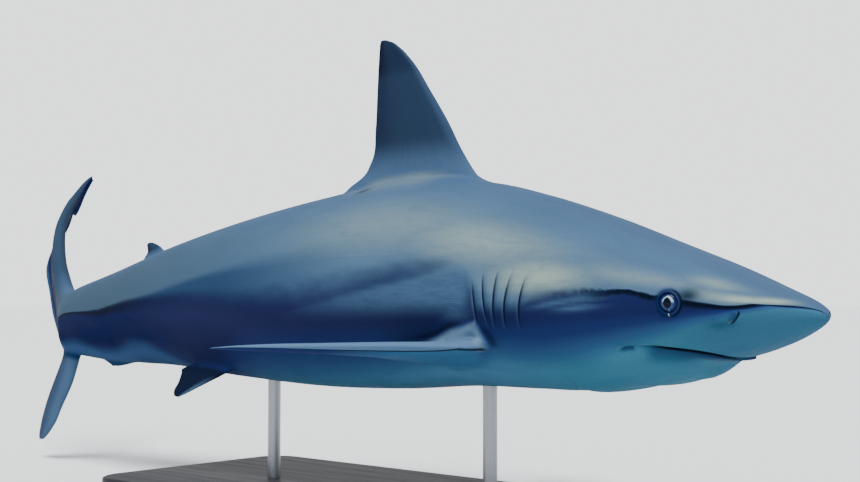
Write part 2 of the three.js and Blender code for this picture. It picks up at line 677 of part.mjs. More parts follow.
function addNode(name, geometry, color, roughness = 0.5, metalness = 0) {
  const material = new THREE.MeshStandardMaterial({ color, roughness, metalness });
  const mesh = new THREE.Mesh(geometry, material);
  mesh.name = name;
  shark.add(mesh);
}

function geometryOf(solid) {
  const { vertProperties, triVerts } = largest(solid).getMesh();
  const geometry = new THREE.BufferGeometry();
  geometry.setAttribute('position', new THREE.BufferAttribute(vertProperties, 3));
  geometry.setIndex([...triVerts]);
  return geometry;
}

// The part of a solid between two stations, held back by half a gap at each cut.
function lengthBetween(solid, from, to) {
  let piece = solid;
  for (const [s, direction] of [[from, 1], [to, -1]]) {
    if (s === null) continue;
    const origin = place(s, 0, 0);
    const tailward = place(s + 0.1, 0, 0).sub(place(s - 0.1, 0, 0)).setZ(0).normalize();
    const normal = tailward.multiplyScalar(direction);
    piece = piece.trimByPlane(normal.toArray(), normal.dot(origin) + GAP / 2);
  }
  return piece;
}

const plainBody = bodySolid();
const grownBody = bodySolid(GAP_U);
const throat = throatSolid();

// Head: the skull form with the rear of the throat and the lip, then for each side its lids,
// gill slits, eye socket, nostril with its flap, and mouth corner.
function headSolid() {
  let head = plainBody.add(lengthBetween(throat, JAW_BACK, null)).add(upperLip());
  for (const side of [1, -1]) {
    head = head.add(lidRim(side));
    for (const slit of GILL_SLITS) head = head.subtract(gillCutter(slit, side));
    head = head.subtract(eyeBall(side, GAP));
    head = head.subtract(nostrilCutter(side)).add(nostrilFlap(side));
    head = head.subtract(cornerFurrow(side));
  }
  return lengthBetween(head, null, HEAD_END);
}

const head = headSolid();
const jaw = lengthBetween(throat, null, JAW_BACK).subtract(grownBody);

addNode('head', geometryOf(head), SKIN_BACK);
addNode('lower_jaw', geometryOf(jaw.subtract(upperLip())), SKIN_FLANK);
addNode('eye_right', geometryOf(eyeBall(1)), EYE_DARK, 0.1);
addNode('eye_left', geometryOf(eyeBall(-1)), EYE_DARK, 0.1);
addNode('trunk_front', geometryOf(lengthBetween(plainBody, HEAD_END, TRUNK_MIDDLE)), SKIN_BACK);
addNode('trunk_rear', geometryOf(lengthBetween(plainBody, TRUNK_MIDDLE, TRUNK_END)), SKIN_FLANK);
addNode('tail_stock', geometryOf(lengthBetween(plainBody, TRUNK_END, TAIL_END)), SKIN_BACK);
addNode('first_dorsal_fin', geometryOf(firstDorsal().subtract(grownBody)), SKIN_FIN);
addNode('second_dorsal_fin', geometryOf(secondDorsal().subtract(grownBody)), SKIN_FIN);
addNode('anal_fin', geometryOf(analFin().subtract(grownBody)), SKIN_FIN);
for (const [name, side] of [['right', 1], ['left', -1]]) {
  const pectoral = pairedFin(PECTORAL_KNOTS, PECTORAL_STEPS, PECTORAL_UP, side);
  const pelvic = pairedFin(PELVIC_KNOTS, PELVIC_STEPS, PELVIC_UP, side, PELVIC_SPREAD[name], PELVIC_ROOT);
  addNode(`pectoral_fin_${name}`, geometryOf(pectoral.subtract(grownBody)), SKIN_FIN);
  addNode(`pelvic_fin_${name}`, geometryOf(pelvic.subtract(grownBody)), SKIN_FIN);
}
const lobeUnder = lengthBetween(lowerLobe(), TAIL_END, null).subtract(upperLobe(GAP_U));
addNode('tail_fin_upper_lobe', geometryOf(lengthBetween(upperLobe(), TAIL_END, null)), SKIN_FIN);
addNode('tail_fin_lower_lobe', geometryOf(lobeUnder), SKIN_FIN);
addNode('stand_base', standBase(), BASE_PAINT, 0.45);
addNode('stand_rod_front', geometryOf(standRod(ROD_STATIONS.front, grownBody)), ROD_STEEL, 0.3, 1);
addNode('stand_rod_rear', geometryOf(standRod(ROD_STATIONS.rear, grownBody)), ROD_STEEL, 0.3, 1);

export default shark;
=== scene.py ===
# A sandbar shark, life size, as a still display model on a plain stand.
#
# Lengths are metres, +Z up, and the head points along +X. The animal is modelled straight,
# in body coordinates, and bent at the end:
#   s  station along the backbone from the snout, in hundredths of the total length
#   w  distance to the animal's right, h  height above the backbone, in the same unit
# The bent skin keeps them as the attribute "body_place", which the skin's patterns follow.

import math

import bmesh
import bpy
import numpy as np
from mathutils import Matrix, Vector
from mathutils.bvhtree import BVHTree
from mathutils.kdtree import KDTree


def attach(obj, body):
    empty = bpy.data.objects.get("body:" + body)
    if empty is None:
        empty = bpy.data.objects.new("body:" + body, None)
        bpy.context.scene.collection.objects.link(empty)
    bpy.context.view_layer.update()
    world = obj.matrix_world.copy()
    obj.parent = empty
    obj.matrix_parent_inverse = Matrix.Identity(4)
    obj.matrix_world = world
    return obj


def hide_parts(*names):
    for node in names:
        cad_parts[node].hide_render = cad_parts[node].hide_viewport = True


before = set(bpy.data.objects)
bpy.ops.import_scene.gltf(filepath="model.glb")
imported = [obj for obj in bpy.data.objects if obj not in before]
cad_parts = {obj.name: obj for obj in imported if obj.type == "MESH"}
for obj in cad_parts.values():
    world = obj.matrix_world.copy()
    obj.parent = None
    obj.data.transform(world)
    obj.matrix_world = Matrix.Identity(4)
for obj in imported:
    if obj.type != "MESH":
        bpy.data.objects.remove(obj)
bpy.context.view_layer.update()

# ------------------------------------------------------------------ driving sizes

UNIT = 0.018                     # one hundredth of the total length
MM = 0.001 / UNIT                # a millimetre in body units
SNOUT_HEIGHT = 0.262
BALANCE_STATION = 37
BANK = math.radians(2.28)
RISE_SLOPE = 0.0425
RISE_CURVE = -7.19e-4
TAIL_START = 75
TAIL_TIP = 94.6
TAIL_BLEND = (73.6, 75.4)        # here the trunk's section turns into the tail fin's lobe
WELD_DISTANCE = 1e-5


def smooth_curve(knots):
    """A smooth curve through (x, y) knots, level past its ends."""
    x, y = np.array(knots, float).T
    gap = np.diff(x)
    rise = np.diff(y) / gap
    inner = (rise[1:] * gap[:-1] + rise[:-1] * gap[1:]) / (gap[:-1] + gap[1:])
    slope = np.concatenate([rise[:1], inner, rise[-1:]])

    def at(p):
        p = np.clip(p, x[0], x[-1])
        i = np.clip(np.searchsorted(x, p, side="right") - 1, 0, len(x) - 2)
        t = (p - x[i]) / gap[i]
        a, b, step = slope[i] * gap[i], slope[i + 1] * gap[i], y[i + 1] - y[i]
        return y[i] + t * (a + t * (3 * step - 2 * a - b + t * (a + b - 2 * step)))

    return at


def root_curve(knots):
    """The same, read against the square root of the station, which rounds the snout."""
    curve = smooth_curve([(math.sqrt(s), value) for s, value in knots])
    return lambda s: curve(np.sqrt(np.maximum(s, 0)))


def ease(x, start, end):
    t = np.clip((x - start) / (end - start), 0, 1)
    return t * t * (3 - 2 * t)


def mix(a, b, t):
    return a + (b - a) * t


def bell(x, centre, width):
    return np.exp(-(((x - centre) / width) ** 2))


def signed_power(x, power):
    return np.sign(x) * np.abs(x) ** power


# ------------------------------------------------------------------ the swimming bend

heading = smooth_curve([
    (0, 4.09), (20, 0.78), (40, -2.95), (60, -0.03), (75, 6.6), (86, 38.6), (100, 90),
])
TRACK_STEP = 0.25
track_s = np.arange(0, 100 + TRACK_STEP, TRACK_STEP)
track_turn = np.radians(heading(track_s[:-1] + TRACK_STEP / 2))
track_x = np.concatenate([[0], np.cumsum(-np.cos(track_turn) * TRACK_STEP)])
track_y = np.concatenate([[0], np.cumsum(np.sin(track_turn) * TRACK_STEP)])


def place(points):
    """Body coordinates, an array of (s, w, h), to metres in the row's frame."""
    s, w, h = np.asarray(points, float).T
    turn = np.radians(heading(s))
    x = np.interp(s, track_s, track_x) - np.interp(BALANCE_STATION, track_s, track_x)
    y = np.interp(s, track_s, track_y) - np.interp(BALANCE_STATION, track_s, track_y)
    side = w * math.cos(BANK) - h * math.sin(BANK)
    up = w * math.sin(BANK) + h * math.cos(BANK) + RISE_SLOPE * s + RISE_CURVE * s * s
    return np.stack([
        (x - np.sin(turn) * side) * UNIT,
        (y - np.cos(turn) * side) * UNIT,
        SNOUT_HEIGHT + up * UNIT,
    ], axis=1)


# ------------------------------------------------------------------ body sections

back_height = root_curve([
    (0, 0), (1, 0.84), (3, 1.6), (6.3, 2.86), (10, 4.12), (15, 5.85), (20, 7.33), (26, 8.67),
    (32, 9.07), (40, 8.32), (50, 7.02), (60, 5.36), (68, 3.81), (76, 2.6),
])
belly_height = root_curve([
    (0, 0), (1, -0.92), (3, -1.88), (5.9, -2.8), (8, -3.2), (10, -3.5), (12, -4.3), (14, -5.02),
    (16, -5.4), (20, -5.57), (26, -5.7), (32, -6.15), (40, -6.26), (50, -5.62), (60, -4.62),
    (64, -4.45), (68, -4.2), (72, -3.7), (76, -3.2),
])
half_width = root_curve([
    (0, 0), (0.25, 0.84), (1, 1.9), (3, 3.5), (6.3, 4.8), (10, 5.5), (15, 6.2), (20, 6.6),
    (26, 6.8), (32, 6.7), (40, 6.1), (50, 4.8), (60, 3.5), (68, 2.6), (76, 1.7),
])
widest_height = root_curve([
    (0, 0), (1, 0.2), (3, 0.45), (6, 0.45), (10, 0.3), (20, 0), (40, -0.3), (60, 0), (76, 0),
])
edge_sharpness = root_curve([
    (0, 1), (1, 1.25), (3.2, 1.32), (5.5, 1.12), (8, 1.02), (14, 1), (76, 1),
])
belly_fullness = root_curve([
    (0, 1), (2, 0.9), (6, 0.72), (14, 0.74), (20, 0.85), (40, 0.9), (60, 1), (76, 1),
])
UNDERSIDE_POWER = 1.08

lobe_top = smooth_curve([
    (74, 2.95), (75, 2.72), (76, 2.7), (77, 3.1), (78.5, 4.3), (80.4, 5.85), (86.8, 10.77),
    (91.5, 14.4), (94.1, 16.45), (94.6, 16.75),
])
lobe_bottom = smooth_curve([
    (74, -3.45), (75, -3.3), (76.3, -3.1), (77.5, -2.5), (79, -0.9), (81.4, 1.4), (84.4, 4.4), (88, 8.3),
    (89.9, 11), (90.5, 12), (91, 11.9), (91.7, 12.5), (93, 14.3), (94.2, 15.8), (94.6, 16.3),
])
lobe_half = smooth_curve([
    (74, 1.9), (75, 1.79), (76.5, 1.3), (78, 0.95), (80, 0.78), (84, 0.62), (88, 0.5), (92, 0.32),
    (94.6, 0.1),
])
lobe_curl = smooth_curve([
    (75, 0), (80, 0.25), (83, 0.45), (86, 1), (87.5, 0.85), (89.5, -0.1), (91, -0.25), (94.6, -0.25),
])
lobe_lean = smooth_curve([(76, 0), (80, -0.15), (84, -0.22), (88, 0), (94.6, 0)])


def trunk_point(s, a):
    """(w, h) on the trunk's section: a is 0 at the back, pi / 2 at the right, pi at the belly."""
    middle, c = widest_height(s), np.cos(a)
    upper = c > 0
    reach = np.where(upper, back_height(s) - middle, middle - belly_height(s))
    w = half_width(s) * signed_power(np.sin(a), np.where(upper, 1, belly_fullness(s)))
    return w, middle + reach * signed_power(c, np.where(upper, edge_sharpness(s), UNDERSIDE_POWER))


def lobe_point(s, a):
    """(w, h) on the tail fin's upper lobe, fleshy above and thin along its lower edge."""
    q = (1 - np.cos(a)) / 2
    blend = ease(s, TAIL_START, 80)
    blade = np.minimum(2.3 * np.sqrt(q), 1) * (1 - q) ** 0.8 * 1.2
    blade = np.maximum(blade, np.minimum(np.abs(np.sin(a)) * 3, 0.12))
    half = lobe_half(s) * mix(np.abs(np.sin(a)), blade, blend)
    w = np.sign(np.sin(a)) * half + lobe_curl(s) * q * q + lobe_lean(s) * (1 - q)
    return w, mix(lobe_top(s), lobe_bottom(s), q)


def body_point(s, a):
    share = ease(s, *TAIL_BLEND)
    trunk, lobe = trunk_point(s, a), lobe_point(s, a)
    return mix(trunk[0], lobe[0], share), mix(trunk[1], lobe[1], share)


def side_angle(s, h):
    """The angle at which the trunk's right side is at height h."""
    middle = widest_height(s)
    up = np.clip((h - middle) / (back_height(s) - middle), 0, 1)
    down = np.clip((middle - h) / (middle - belly_height(s)), 0, 1)
    return np.where(
        h >= middle,
        np.arccos(up ** (1 / edge_sharpness(s))),
        np.pi - np.arccos(down ** (1 / UNDERSIDE_POWER)),
    )


# The throat and lower jaw are a second form, which swells out of the head's underside.
JAW_FRONT = 5.6
MOUTH_CORNER = 9.98
CORNER_WIDTH = 4.3
THROAT_TOP = -1.2
THROAT_END = 17.4
THROAT_BACK = 17.5
THROAT_FADE = (15, 17.3)         # over these stations the throat sinks back into the head
JAW_BLUNTNESS = 0.245
throat_height = smooth_curve([
    (JAW_FRONT, -2.862), (6.05, -2.924), (6.4, -3.013), (6.9, -3.124), (7.8, -4.02), (9, -4.35),
    (10, -4.6), (12.5, -4.93), (15, -5.15), (THROAT_BACK, -5.2),
])
throat_fullness = smooth_curve([
    (JAW_FRONT, 1.689), (6.4, 1.576), (7.1, 1.193), (8, 1.078), (9.5, 0.82), (THROAT_BACK, 0.82),
])
throat_rear = smooth_curve([(MOUTH_CORNER, CORNER_WIDTH), (12, 4.5), (15, 3.9), (THROAT_BACK, 2.8)])
throat_middle = smooth_curve([
    (JAW_FRONT, -2.747), (8, -2.6), (10, -2.45), (13, -3.1), (THROAT_BACK, -3.6),
])


def throat_width(s):
    t = np.clip((s - JAW_FRONT) / (MOUTH_CORNER - JAW_FRONT), 1e-9, None)
    return np.where(s > MOUTH_CORNER, throat_rear(s), CORNER_WIDTH * t ** JAW_BLUNTNESS)


# Rays from this height meet the head and the throat once each.
RAY_HEIGHT = -1.9
RAY_LENGTH = 9.0
RAY_HALVINGS = 26


def throat_reach(s, w, h):
    """How far the throat reaches along the ray from (0, RAY_HEIGHT) through (w, h)."""
    length = np.hypot(w, h - RAY_HEIGHT)
    dw, dh = w / length, (h - RAY_HEIGHT) / length
    half, middle, bottom = throat_width(s), throat_middle(s), throat_height(s)
    low, high = np.zeros_like(s), np.full_like(s, RAY_LENGTH)
    for _ in range(RAY_HALVINGS):
        r = (low + high) / 2
        x, y = np.abs(dw * r) / half, RAY_HEIGHT + dh * r - middle
        inside_above = x ** 2 + np.maximum(y / (THROAT_TOP - middle), 0) ** 2
        inside_below = x ** (2 / throat_fullness(s))
        inside_below = inside_below + np.maximum(-y / (middle - bottom), 0) ** (2 / UNDERSIDE_POWER)
        inside = np.where(y > 0, inside_above, inside_below) < 1
        low, high = np.where(inside, r, low), np.where(inside, high, r)
    return low


def swell_throat(s, w, h):
    """Carries points of the head out to the throat, softly where the two meet."""
    reach = throat_reach(s, w, h) - 1.2 * ease(s, *THROAT_FADE)
    own = np.hypot(w, h - RAY_HEIGHT)
    soft = 0.02 + 1.1 * ease(s, 9.7, 13.5) * (1 - ease(s, 15.5, 17.3))
    grown = np.maximum(reach, own) + np.maximum(soft - np.abs(reach - own), 0) ** 2 / (4 * soft)
    return w * grown / own, RAY_HEIGHT + (h - RAY_HEIGHT) * grown / own


# ------------------------------------------------------------------ gills, eye, nostril, mouth

# Gill slits: station at the top, middle and foot, and the heights of top and foot.
GILL_SLITS = [
    (17.05, 17.43, 17.5, 1.65, -1.55),
    (18.15, 18.57, 18.62, 1.85, -1.7),
    (19.32, 19.47, 19.47, 1.85, -1.65),
    (20.47, 20.26, 19.96, 1.7, -1.6),
    (21.25, 20.99, 20.85, 1.12, -1.55),
]
GILL_ZONE = (14.5, 24.5)
GILL_COLUMNS = [sum(slit[:3]) / 3 for slit in GILL_SLITS]


def slit_station(slit, h):
    """Where a gill slit is at height h, carried on straight past its two ends."""
    top_s, mid_s, foot_s, top_h, foot_h = slit
    t = (top_h - h) / (top_h - foot_h)
    inner = np.clip(t, 0, 1)
    bow = (1 - inner) * (1 - 2 * inner) * top_s + 4 * inner * (1 - inner) * mid_s
    bow = bow + inner * (2 * inner - 1) * foot_s
    top_slope = 4 * mid_s - 3 * top_s - foot_s
    foot_slope = 3 * foot_s + top_s - 4 * mid_s
    return bow + np.minimum(t, 0) * top_slope * 0.5 + np.clip(t - 1, 0, 0.3) * foot_slope


def follow_gills(s, h):
    """Bends the rings of the gill region so that one ring runs along each slit."""
    near = ease(h, -5, -2.6) * (1 - ease(h, 2.2, 5))
    columns = [GILL_ZONE[0], *GILL_COLUMNS, GILL_ZONE[1]]
    lines = [np.full_like(h, columns[0])]
    lines += [mix(c, slit_station(slit, h), near) for c, slit in zip(GILL_COLUMNS, GILL_SLITS)]
    lines += [np.full_like(h, columns[-1])]
    bent = s.copy()
    for i in range(len(columns) - 1):
        inside = (s >= columns[i]) & (s <= columns[i + 1])
        t = (s - columns[i]) / (columns[i + 1] - columns[i])
        bent = np.where(inside, mix(lines[i], lines[i + 1], t), bent)
    return bent


# A slit's section in millimetres, tailward from its line: where the skin lies along the
# body and how far out. The flap in front tucks in, and the next one starts with a fine lip.
GILL_PROFILE = np.array([
    (-14, -14, 0), (-8, -8, 0.5), (-4.2, -4.2, 0.3), (-2.8, -2.8, -0.2), (-1.8, -1.8, -0.8),
    (-1.1, -1.0, -1.3), (-0.6, -0.4, -1.7), (-0.3, -0.1, -2.0), (0, 0.2, -2.1), (0.3, 0.4, -1.5),
    (0.6, 0.5, -0.5), (1.2, 1.1, 0.15), (2.2, 2.1, 0.3), (3.6, 3.6, 0.4), (5.4, 5.4, 0.4),
    (7.6, 7.6, 0.3), (10.2, 10.2, 0.2), (14, 14, 0),
])
GILL_REACH = GILL_PROFILE[-1, 0]
CROWDED_SLITS = GILL_SLITS[3:]   # close together, so they are shallower
FRONT_SLITS = GILL_SLITS[:2]     # fainter towards the top


def gill_shift(s, h):
    """Tailward and outward shifts of the gill region in mm, and its painted shade and highlight: dark in
    each slit, dim on its head side and pale on the lip behind it.
    """
    along, out, dark, dim, pale = (np.zeros_like(s) for _ in range(5))
    for slit in GILL_SLITS:
        top_h, foot_h = slit[3:]
        t = (top_h - h) / (top_h - foot_h)
        span = np.sqrt(np.clip(np.sin(np.pi * np.clip((t + 0.02) / 1.04, 0, 1)), 0, 1))
        x = (s - slit_station(slit, h)) / MM
        crowd = 0.72 if slit in CROWDED_SLITS else 1
        shift = np.interp(x, GILL_PROFILE[:, 0], GILL_PROFILE[:, 1]) - x
        along += span * shift * (np.abs(x) < GILL_REACH)
        out += span * crowd * np.interp(x, GILL_PROFILE[:, 0], GILL_PROFILE[:, 2])
        firm = span * (mix(0.45, 1, ease(t, 0, 0.45)) if slit in FRONT_SLITS else 1)
        dark = np.maximum(dark, firm * np.interp(x, [-1.1, -0.3, 0.3, 0.8], [0, 0.75, 0.75, 0]))
        dim = np.maximum(dim, firm * np.interp(x, [-10, -4.5, -1, 0.4, 0.9], [0, 0.4, 0.95, 0.95, 0]))
        pale = np.maximum(pale, firm * np.interp(x, [0.5, 0.9, 1.8, 3.4], [0, 0.2, 0.2, 0]))
    return along, out, dark, dim, pale


EYE_S, EYE_H = 7.26, 0.26
EYE_RADIUS = 15.5                # millimetres, as is the next one
EYE_DEPTH = 11.7                 # from the skin down to the middle of the eyeball
LID_REACH = 23

# The skin round the eye, outward in millimetres against the distance from its axis.
LID_PROFILE = np.array([
    (0, -9), (9.2, -9), (9.6, -5), (9.85, -1.0), (10.15, 0.75), (10.7, 1.55), (11.5, 1.95),
    (12.4, 1.75), (13.3, 0.95), (14.0, 0.2), (14.7, -0.15), (16.2, 0.2), (18.5, 0.4), (LID_REACH, 0),
])

NOSTRIL = [(3.45, 0.02), (3.62, -0.38), (4.1, -0.82)]
FURROW = [(9.9, -2.44), (10.5, -2.42), (11.25, -2.62)]


def skin_spot(s, h):
    """A spot of the trunk's right side at height h: its place and its outward normal."""
    s, a = np.asarray(s, float), side_angle(s, h)

    def at(ds, da):
        w, hh = trunk_point(s + ds, a + da)
        return np.stack([s + ds, w, hh], axis=-1)

    along = at(0.05, 0) - at(-0.05, 0)
    around = at(0, 0.02) - at(0, -0.02)
    normal = np.cross(along, around)
    normal /= np.linalg.norm(normal, axis=-1, keepdims=True)
    point = at(0, 0)
    outward = point - np.stack([s, 0 * s, widest_height(s)], axis=-1)
    return point, normal * np.sign(np.sum(normal * outward, axis=-1, keepdims=True))


def quadratic(a, b, c, t):
    return (1 - t) * (1 - 2 * t) * a + 4 * t * (1 - t) * b + t * (2 * t - 1) * c


def skin_line(knots, count):
    """A line of spots over the right side through three (s, h) knots."""
    t = np.linspace(0, 1, count)
    (s0, h0), (s1, h1), (s2, h2) = knots
    return skin_spot(quadratic(s0, s1, s2, t), quadratic(h0, h1, h2, t))


def mouth_line(count):
    """The right half of the mouth line, from the chin to the corner."""
    t = np.linspace(0, 1, count)
    s = JAW_FRONT + (MOUTH_CORNER - JAW_FRONT) * t ** 3
    sine = np.minimum(throat_width(s) / half_width(s), 1) ** (1 / belly_fullness(s))
    w, h = trunk_point(s, np.pi - np.arcsin(sine))
    _, normal = skin_spot(s, h)
    return np.stack([s, w, h], axis=-1), normal


def nearest_on(points, line):
    """For each point, the index of the nearest spot of a line and the distance in mm."""
    gap = points[:, None, :] - line[None, :, :]
    far = np.einsum("ijk,ijk->ij", gap, gap)
    index = far.argmin(axis=1)
    return index, np.sqrt(far[np.arange(len(points)), index]) / MM


# Places round the body are in degrees: 0 along the back, 90 on the side, 180 along the belly.

def turn_of(s, w, h):
    """How far round the body a place is, in degrees."""
    middle = widest_height(s)
    up = np.maximum(h - middle, 0) / np.maximum(back_height(s) - middle, 1e-3)
    down = np.maximum(middle - h, 0) / np.maximum(middle - belly_height(s), 1e-3)
    rise = up ** (1 / edge_sharpness(s)) - down ** (1 / UNDERSIDE_POWER)
    out = np.abs(w) / np.maximum(half_width(s), 1e-3)
    out = np.where(h > middle, out, out ** (1 / belly_fullness(s)))
    lobe = np.arccos(1 - 2 * np.clip((lobe_top(s) - h) / (lobe_top(s) - lobe_bottom(s)), 0, 1))
    return np.degrees(mix(np.arctan2(out, rise), lobe, ease(s, *TAIL_BLEND)))


SHOULDER_TOP = smooth_curve([
    (20.9, 104), (22, 107.5), (23.3, 110.5), (24.4, 115), (25.2, 117.5), (26.5, 119),
])
SHOULDER_FRONT = smooth_curve([(100, 21), (105, 20.9), (110.7, 20.7), (115.7, 20.47), (122, 20.32)])
SHOULDER_HEIGHT = 4              # millimetres


def fin_shoulder(s, turn):
    """The muscle that rises over the root of the pectoral fin."""
    rise = ease(turn, SHOULDER_TOP(s) - 1.2, SHOULDER_TOP(s) + 2.4)
    front = ease(s, SHOULDER_FRONT(turn) - 0.15, SHOULDER_FRONT(turn) + 0.25)
    return rise * front * (1 - ease(turn, 121.5, 125)) * (1 - ease(s, 25, 27))


def shoulder_ridge(s, turn):
    """Where the shoulder's painted highlight is brightest: a band a little inside its upper and front edge.
    """
    low = (turn - SHOULDER_TOP(s)) / 4.4
    back = (s - SHOULDER_FRONT(turn)) / 0.42
    inset = -np.log(np.exp(-3 * low) + np.exp(-3 * back)) / 3
    return bell(inset, 0.85, 0.42) * (1 - ease(s, 23.6, 25.6))


# ------------------------------------------------------------------ building the body's skin

AROUND = 120
SIDE_DENSITY = 0.28
SNOUT_TIP = 3.2
TAIL_RINGS = 74                  # from here on the rings are closer


def stations():
    """The stations of the body's rings, closer where the head has its folds and slits."""
    tip = SNOUT_TIP * (np.arange(0, 41) / 40) ** 1.5
    spans = [
        (SNOUT_TIP, 4.5, 19), (4.5, 5.5, 11), (5.5, 6.5, 22), (6.5, 10.3, 48),
        (10.3, GILL_ZONE[0], 26),
    ]
    rows = [tip] + [np.linspace(a, b, n + 1)[1:] for a, b, n in spans]
    rows.append(np.linspace(GILL_ZONE[0], GILL_COLUMNS[0] - 5.5 * MM, 12)[1:])
    beside_slit = GILL_PROFILE[2:-1, 0] * MM
    for column, following in zip(GILL_COLUMNS, [*GILL_COLUMNS[1:], GILL_ZONE[1]]):
        rings = column + beside_slit
        rows.append(rings[rings < following - 5 * MM])
    rows.append(np.linspace(GILL_COLUMNS[-1] + 12.5 * MM, GILL_ZONE[1], 9))
    rows.append(np.linspace(GILL_ZONE[1], TAIL_RINGS, 108)[1:])
    rows.append(np.linspace(TAIL_RINGS, TAIL_TIP, 74)[1:])
    return np.concatenate(rows)


def around_angle(v):
    """Angle on a section from the share of its round, with points closer on the sides."""
    return 2 * np.pi * v + SIDE_DENSITY / 2 * np.sin(4 * np.pi * v)


def head_place(s, a):
    """The undetailed skin: body coordinates from station and angle."""
    w, h = body_point(s, a)
    zone = (s > JAW_FRONT) & (s < THROAT_END) & (np.cos(a) < 0.35)
    if zone.any():
        w[zone], h[zone] = swell_throat(s[zone], w[zone], h[zone])
    return np.stack([s, w, h], axis=1)


def param_place(param, all_stations):
    """Body coordinates from grid places: the number of the ring and of the point on it."""
    ring, point = param.T
    s = np.interp(ring, np.arange(len(all_stations)), all_stations)
    a = around_angle(point / AROUND)
    _, h = trunk_point(s, a)
    s = np.where((s > GILL_ZONE[0]) & (s < GILL_ZONE[1]), follow_gills(s, h), s)
    return head_place(s, a)


def refine(bm, all_stations, pick, around_only=False):
    """Splits the faces whose middle pick() chooses."""
    bm.faces.ensure_lookup_table()
    middles = np.array([f.calc_center_median()[:2] for f in bm.faces])
    places = param_place(middles, all_stations)
    edges = {}
    for i in np.flatnonzero(pick(places)):
        for e in bm.faces[i].edges:
            run = e.verts[0].co - e.verts[1].co
            if not around_only or abs(run.x) < abs(run.y):
                edges[e] = True
    bmesh.ops.subdivide_edges(bm, edges=list(edges), cuts=1, use_grid_fill=True)


# Snapping of the distance from the eye's axis, so that the rim of the lids is a clean ring.
LID_SNAP = (
    [0, 8.9, 9.4, 9.95, 10, 10.5, 11.1, LID_REACH],
    [0, 8.9, 9.85, 9.85, 10.4, 10.4, 11.1, LID_REACH],
)

# How dark, dim and pale the lids are by that distance. The dark at the opening and in the crease is painted
# shade, the pale rim a painted highlight. The last two are for the front.
LID_OPENING_SHADE = ([0, 9.95, 10.4, 11.2], [1, 1, 0.5, 0])
LID_DIM = ([0, 13.6, 15, 17.5], [1.2, 1.15, 0.5, 0])
CREASE_SHADE = ([13, 13.9, 14.9, 16], [0, 0.8, 0.7, 0])
LID_RIM_HIGHLIGHT = ([11.2, 11.8, 12.6, 13.3], [0, 0.12, 0.1, 0])

# Sections of the small lines of the head, in millimetres: distance across the line, where
# that skin goes, and how far out. They run from the outer side of the line to the inner one.
MOUTH_PROFILE = np.array([
    (-9, -9, 0), (-5, -5, 0.35), (-3, -2.8, 0.9), (-1.6, -1.1, 0.9), (-0.7, -0.1, 0.1), (0, 0.1, -2.6),
    (0.7, 0.6, -3.0), (1.4, 1.3, -1.0), (2.4, 2.4, 0.1), (4, 4, 0.2), (9, 9, 0),
])
NOSTRIL_PROFILE = np.array([
    (-9, -9, 0), (-5, -5, 0.25), (-2.8, -2.6, 0.4), (-1.6, -1.7, -0.6), (-0.8, -0.7, -3.2),
    (0, -0.3, -4.4), (0.6, -0.5, -2.6), (1.1, 0, 0.2), (1.9, 1.4, 1.3), (3.4, 3.2, 1.0), (9, 9, 0),
])
FURROW_PROFILE = np.array([
    (-6, -6, 0), (-3, -3, 0.5), (-1.4, -1.3, 0.3), (0, 0, -1.0), (1.2, 1.2, -0.3), (3, 3, 0.2), (6, 6, 0),
])


def span_of_line(t, open_start):
    """How strongly a line is drawn along its length: it fades out at its ends."""
    start = 1 if open_start else ease(t, 0, 0.35)
    return start * (1 - ease(t, 0.72, 1))


def right_side(places):
    """The places carried to the right side, where the lines of the head are drawn."""
    return np.stack([places[:, 0], np.abs(places[:, 1]), places[:, 2]], axis=1)


eye_spot, eye_axis = skin_spot(EYE_S, np.array(EYE_H))


def eye_distance(places):
    """Distance from the eye's axis and along it, in millimetres, on the right side."""
    offset = right_side(places) - eye_spot
    along = offset @ eye_axis
    return np.linalg.norm(offset - along[:, None] * eye_axis, axis=1) / MM, along / MM


def near_eye(places, low, high):
    across, along = eye_distance(places)
    return (across > low) & (across < high) & (np.abs(along) < 30)


def near_shoulder(places):
    s, w, h = places.T
    return (s > 20.2) & (s < 26.6) & (np.abs(w) > 5) & (h > -3.3) & (h < -0.9)


def near_line(places, line, reach):
    right = right_side(places)
    low, high = line.min(axis=0) - reach * MM, line.max(axis=0) + reach * MM
    close = np.all((right > low) & (right < high), axis=1)
    if close.any():
        close[close] = nearest_on(right[close], line)[1] < reach
    return close


mouth_spots, mouth_normals = mouth_line(160)
nostril_spots, nostril_normals = skin_line(NOSTRIL, 40)
furrow_spots, furrow_normals = skin_line(FURROW, 40)


def body_grid():
    """The undetailed skin of body, head and the tail fin's upper lobe, as one closed bmesh."""
    rings = stations()
    bm = bmesh.new()
    bmesh.ops.create_grid(bm, x_segments=len(rings) - 1, y_segments=AROUND, size=0.5)
    for v in bm.verts:
        v.co = ((v.co.x + 0.5) * (len(rings) - 1), (v.co.y + 0.5) * AROUND, 0)
    # first along the mouth, then round the folds of the head, and once more close to them
    refine(bm, rings, lambda p: near_line(p, mouth_spots, 7), around_only=True)
    for eye_low, eye_high, mouth, nostril, furrow in [(0, 22, 6, 10, 6), (9, 15.5, 3, 4.5, 3)]:
        refine(bm, rings, lambda p: (
            near_eye(p, eye_low, eye_high) | near_line(p, mouth_spots, mouth)
            | near_line(p, nostril_spots, nostril) | near_line(p, furrow_spots, furrow)))
    refine(bm, rings, near_shoulder)
    places = param_place(np.array([v.co[:2] for v in bm.verts]), rings)
    for v, place_now in zip(bm.verts, places):
        v.co = place_now
    bmesh.ops.remove_doubles(bm, verts=bm.verts[:], dist=WELD_DISTANCE)
    bmesh.ops.holes_fill(bm, edges=[e for e in bm.edges if e.is_boundary], sides=0)
    bmesh.ops.recalc_face_normals(bm, faces=bm.faces[:])
    return bm


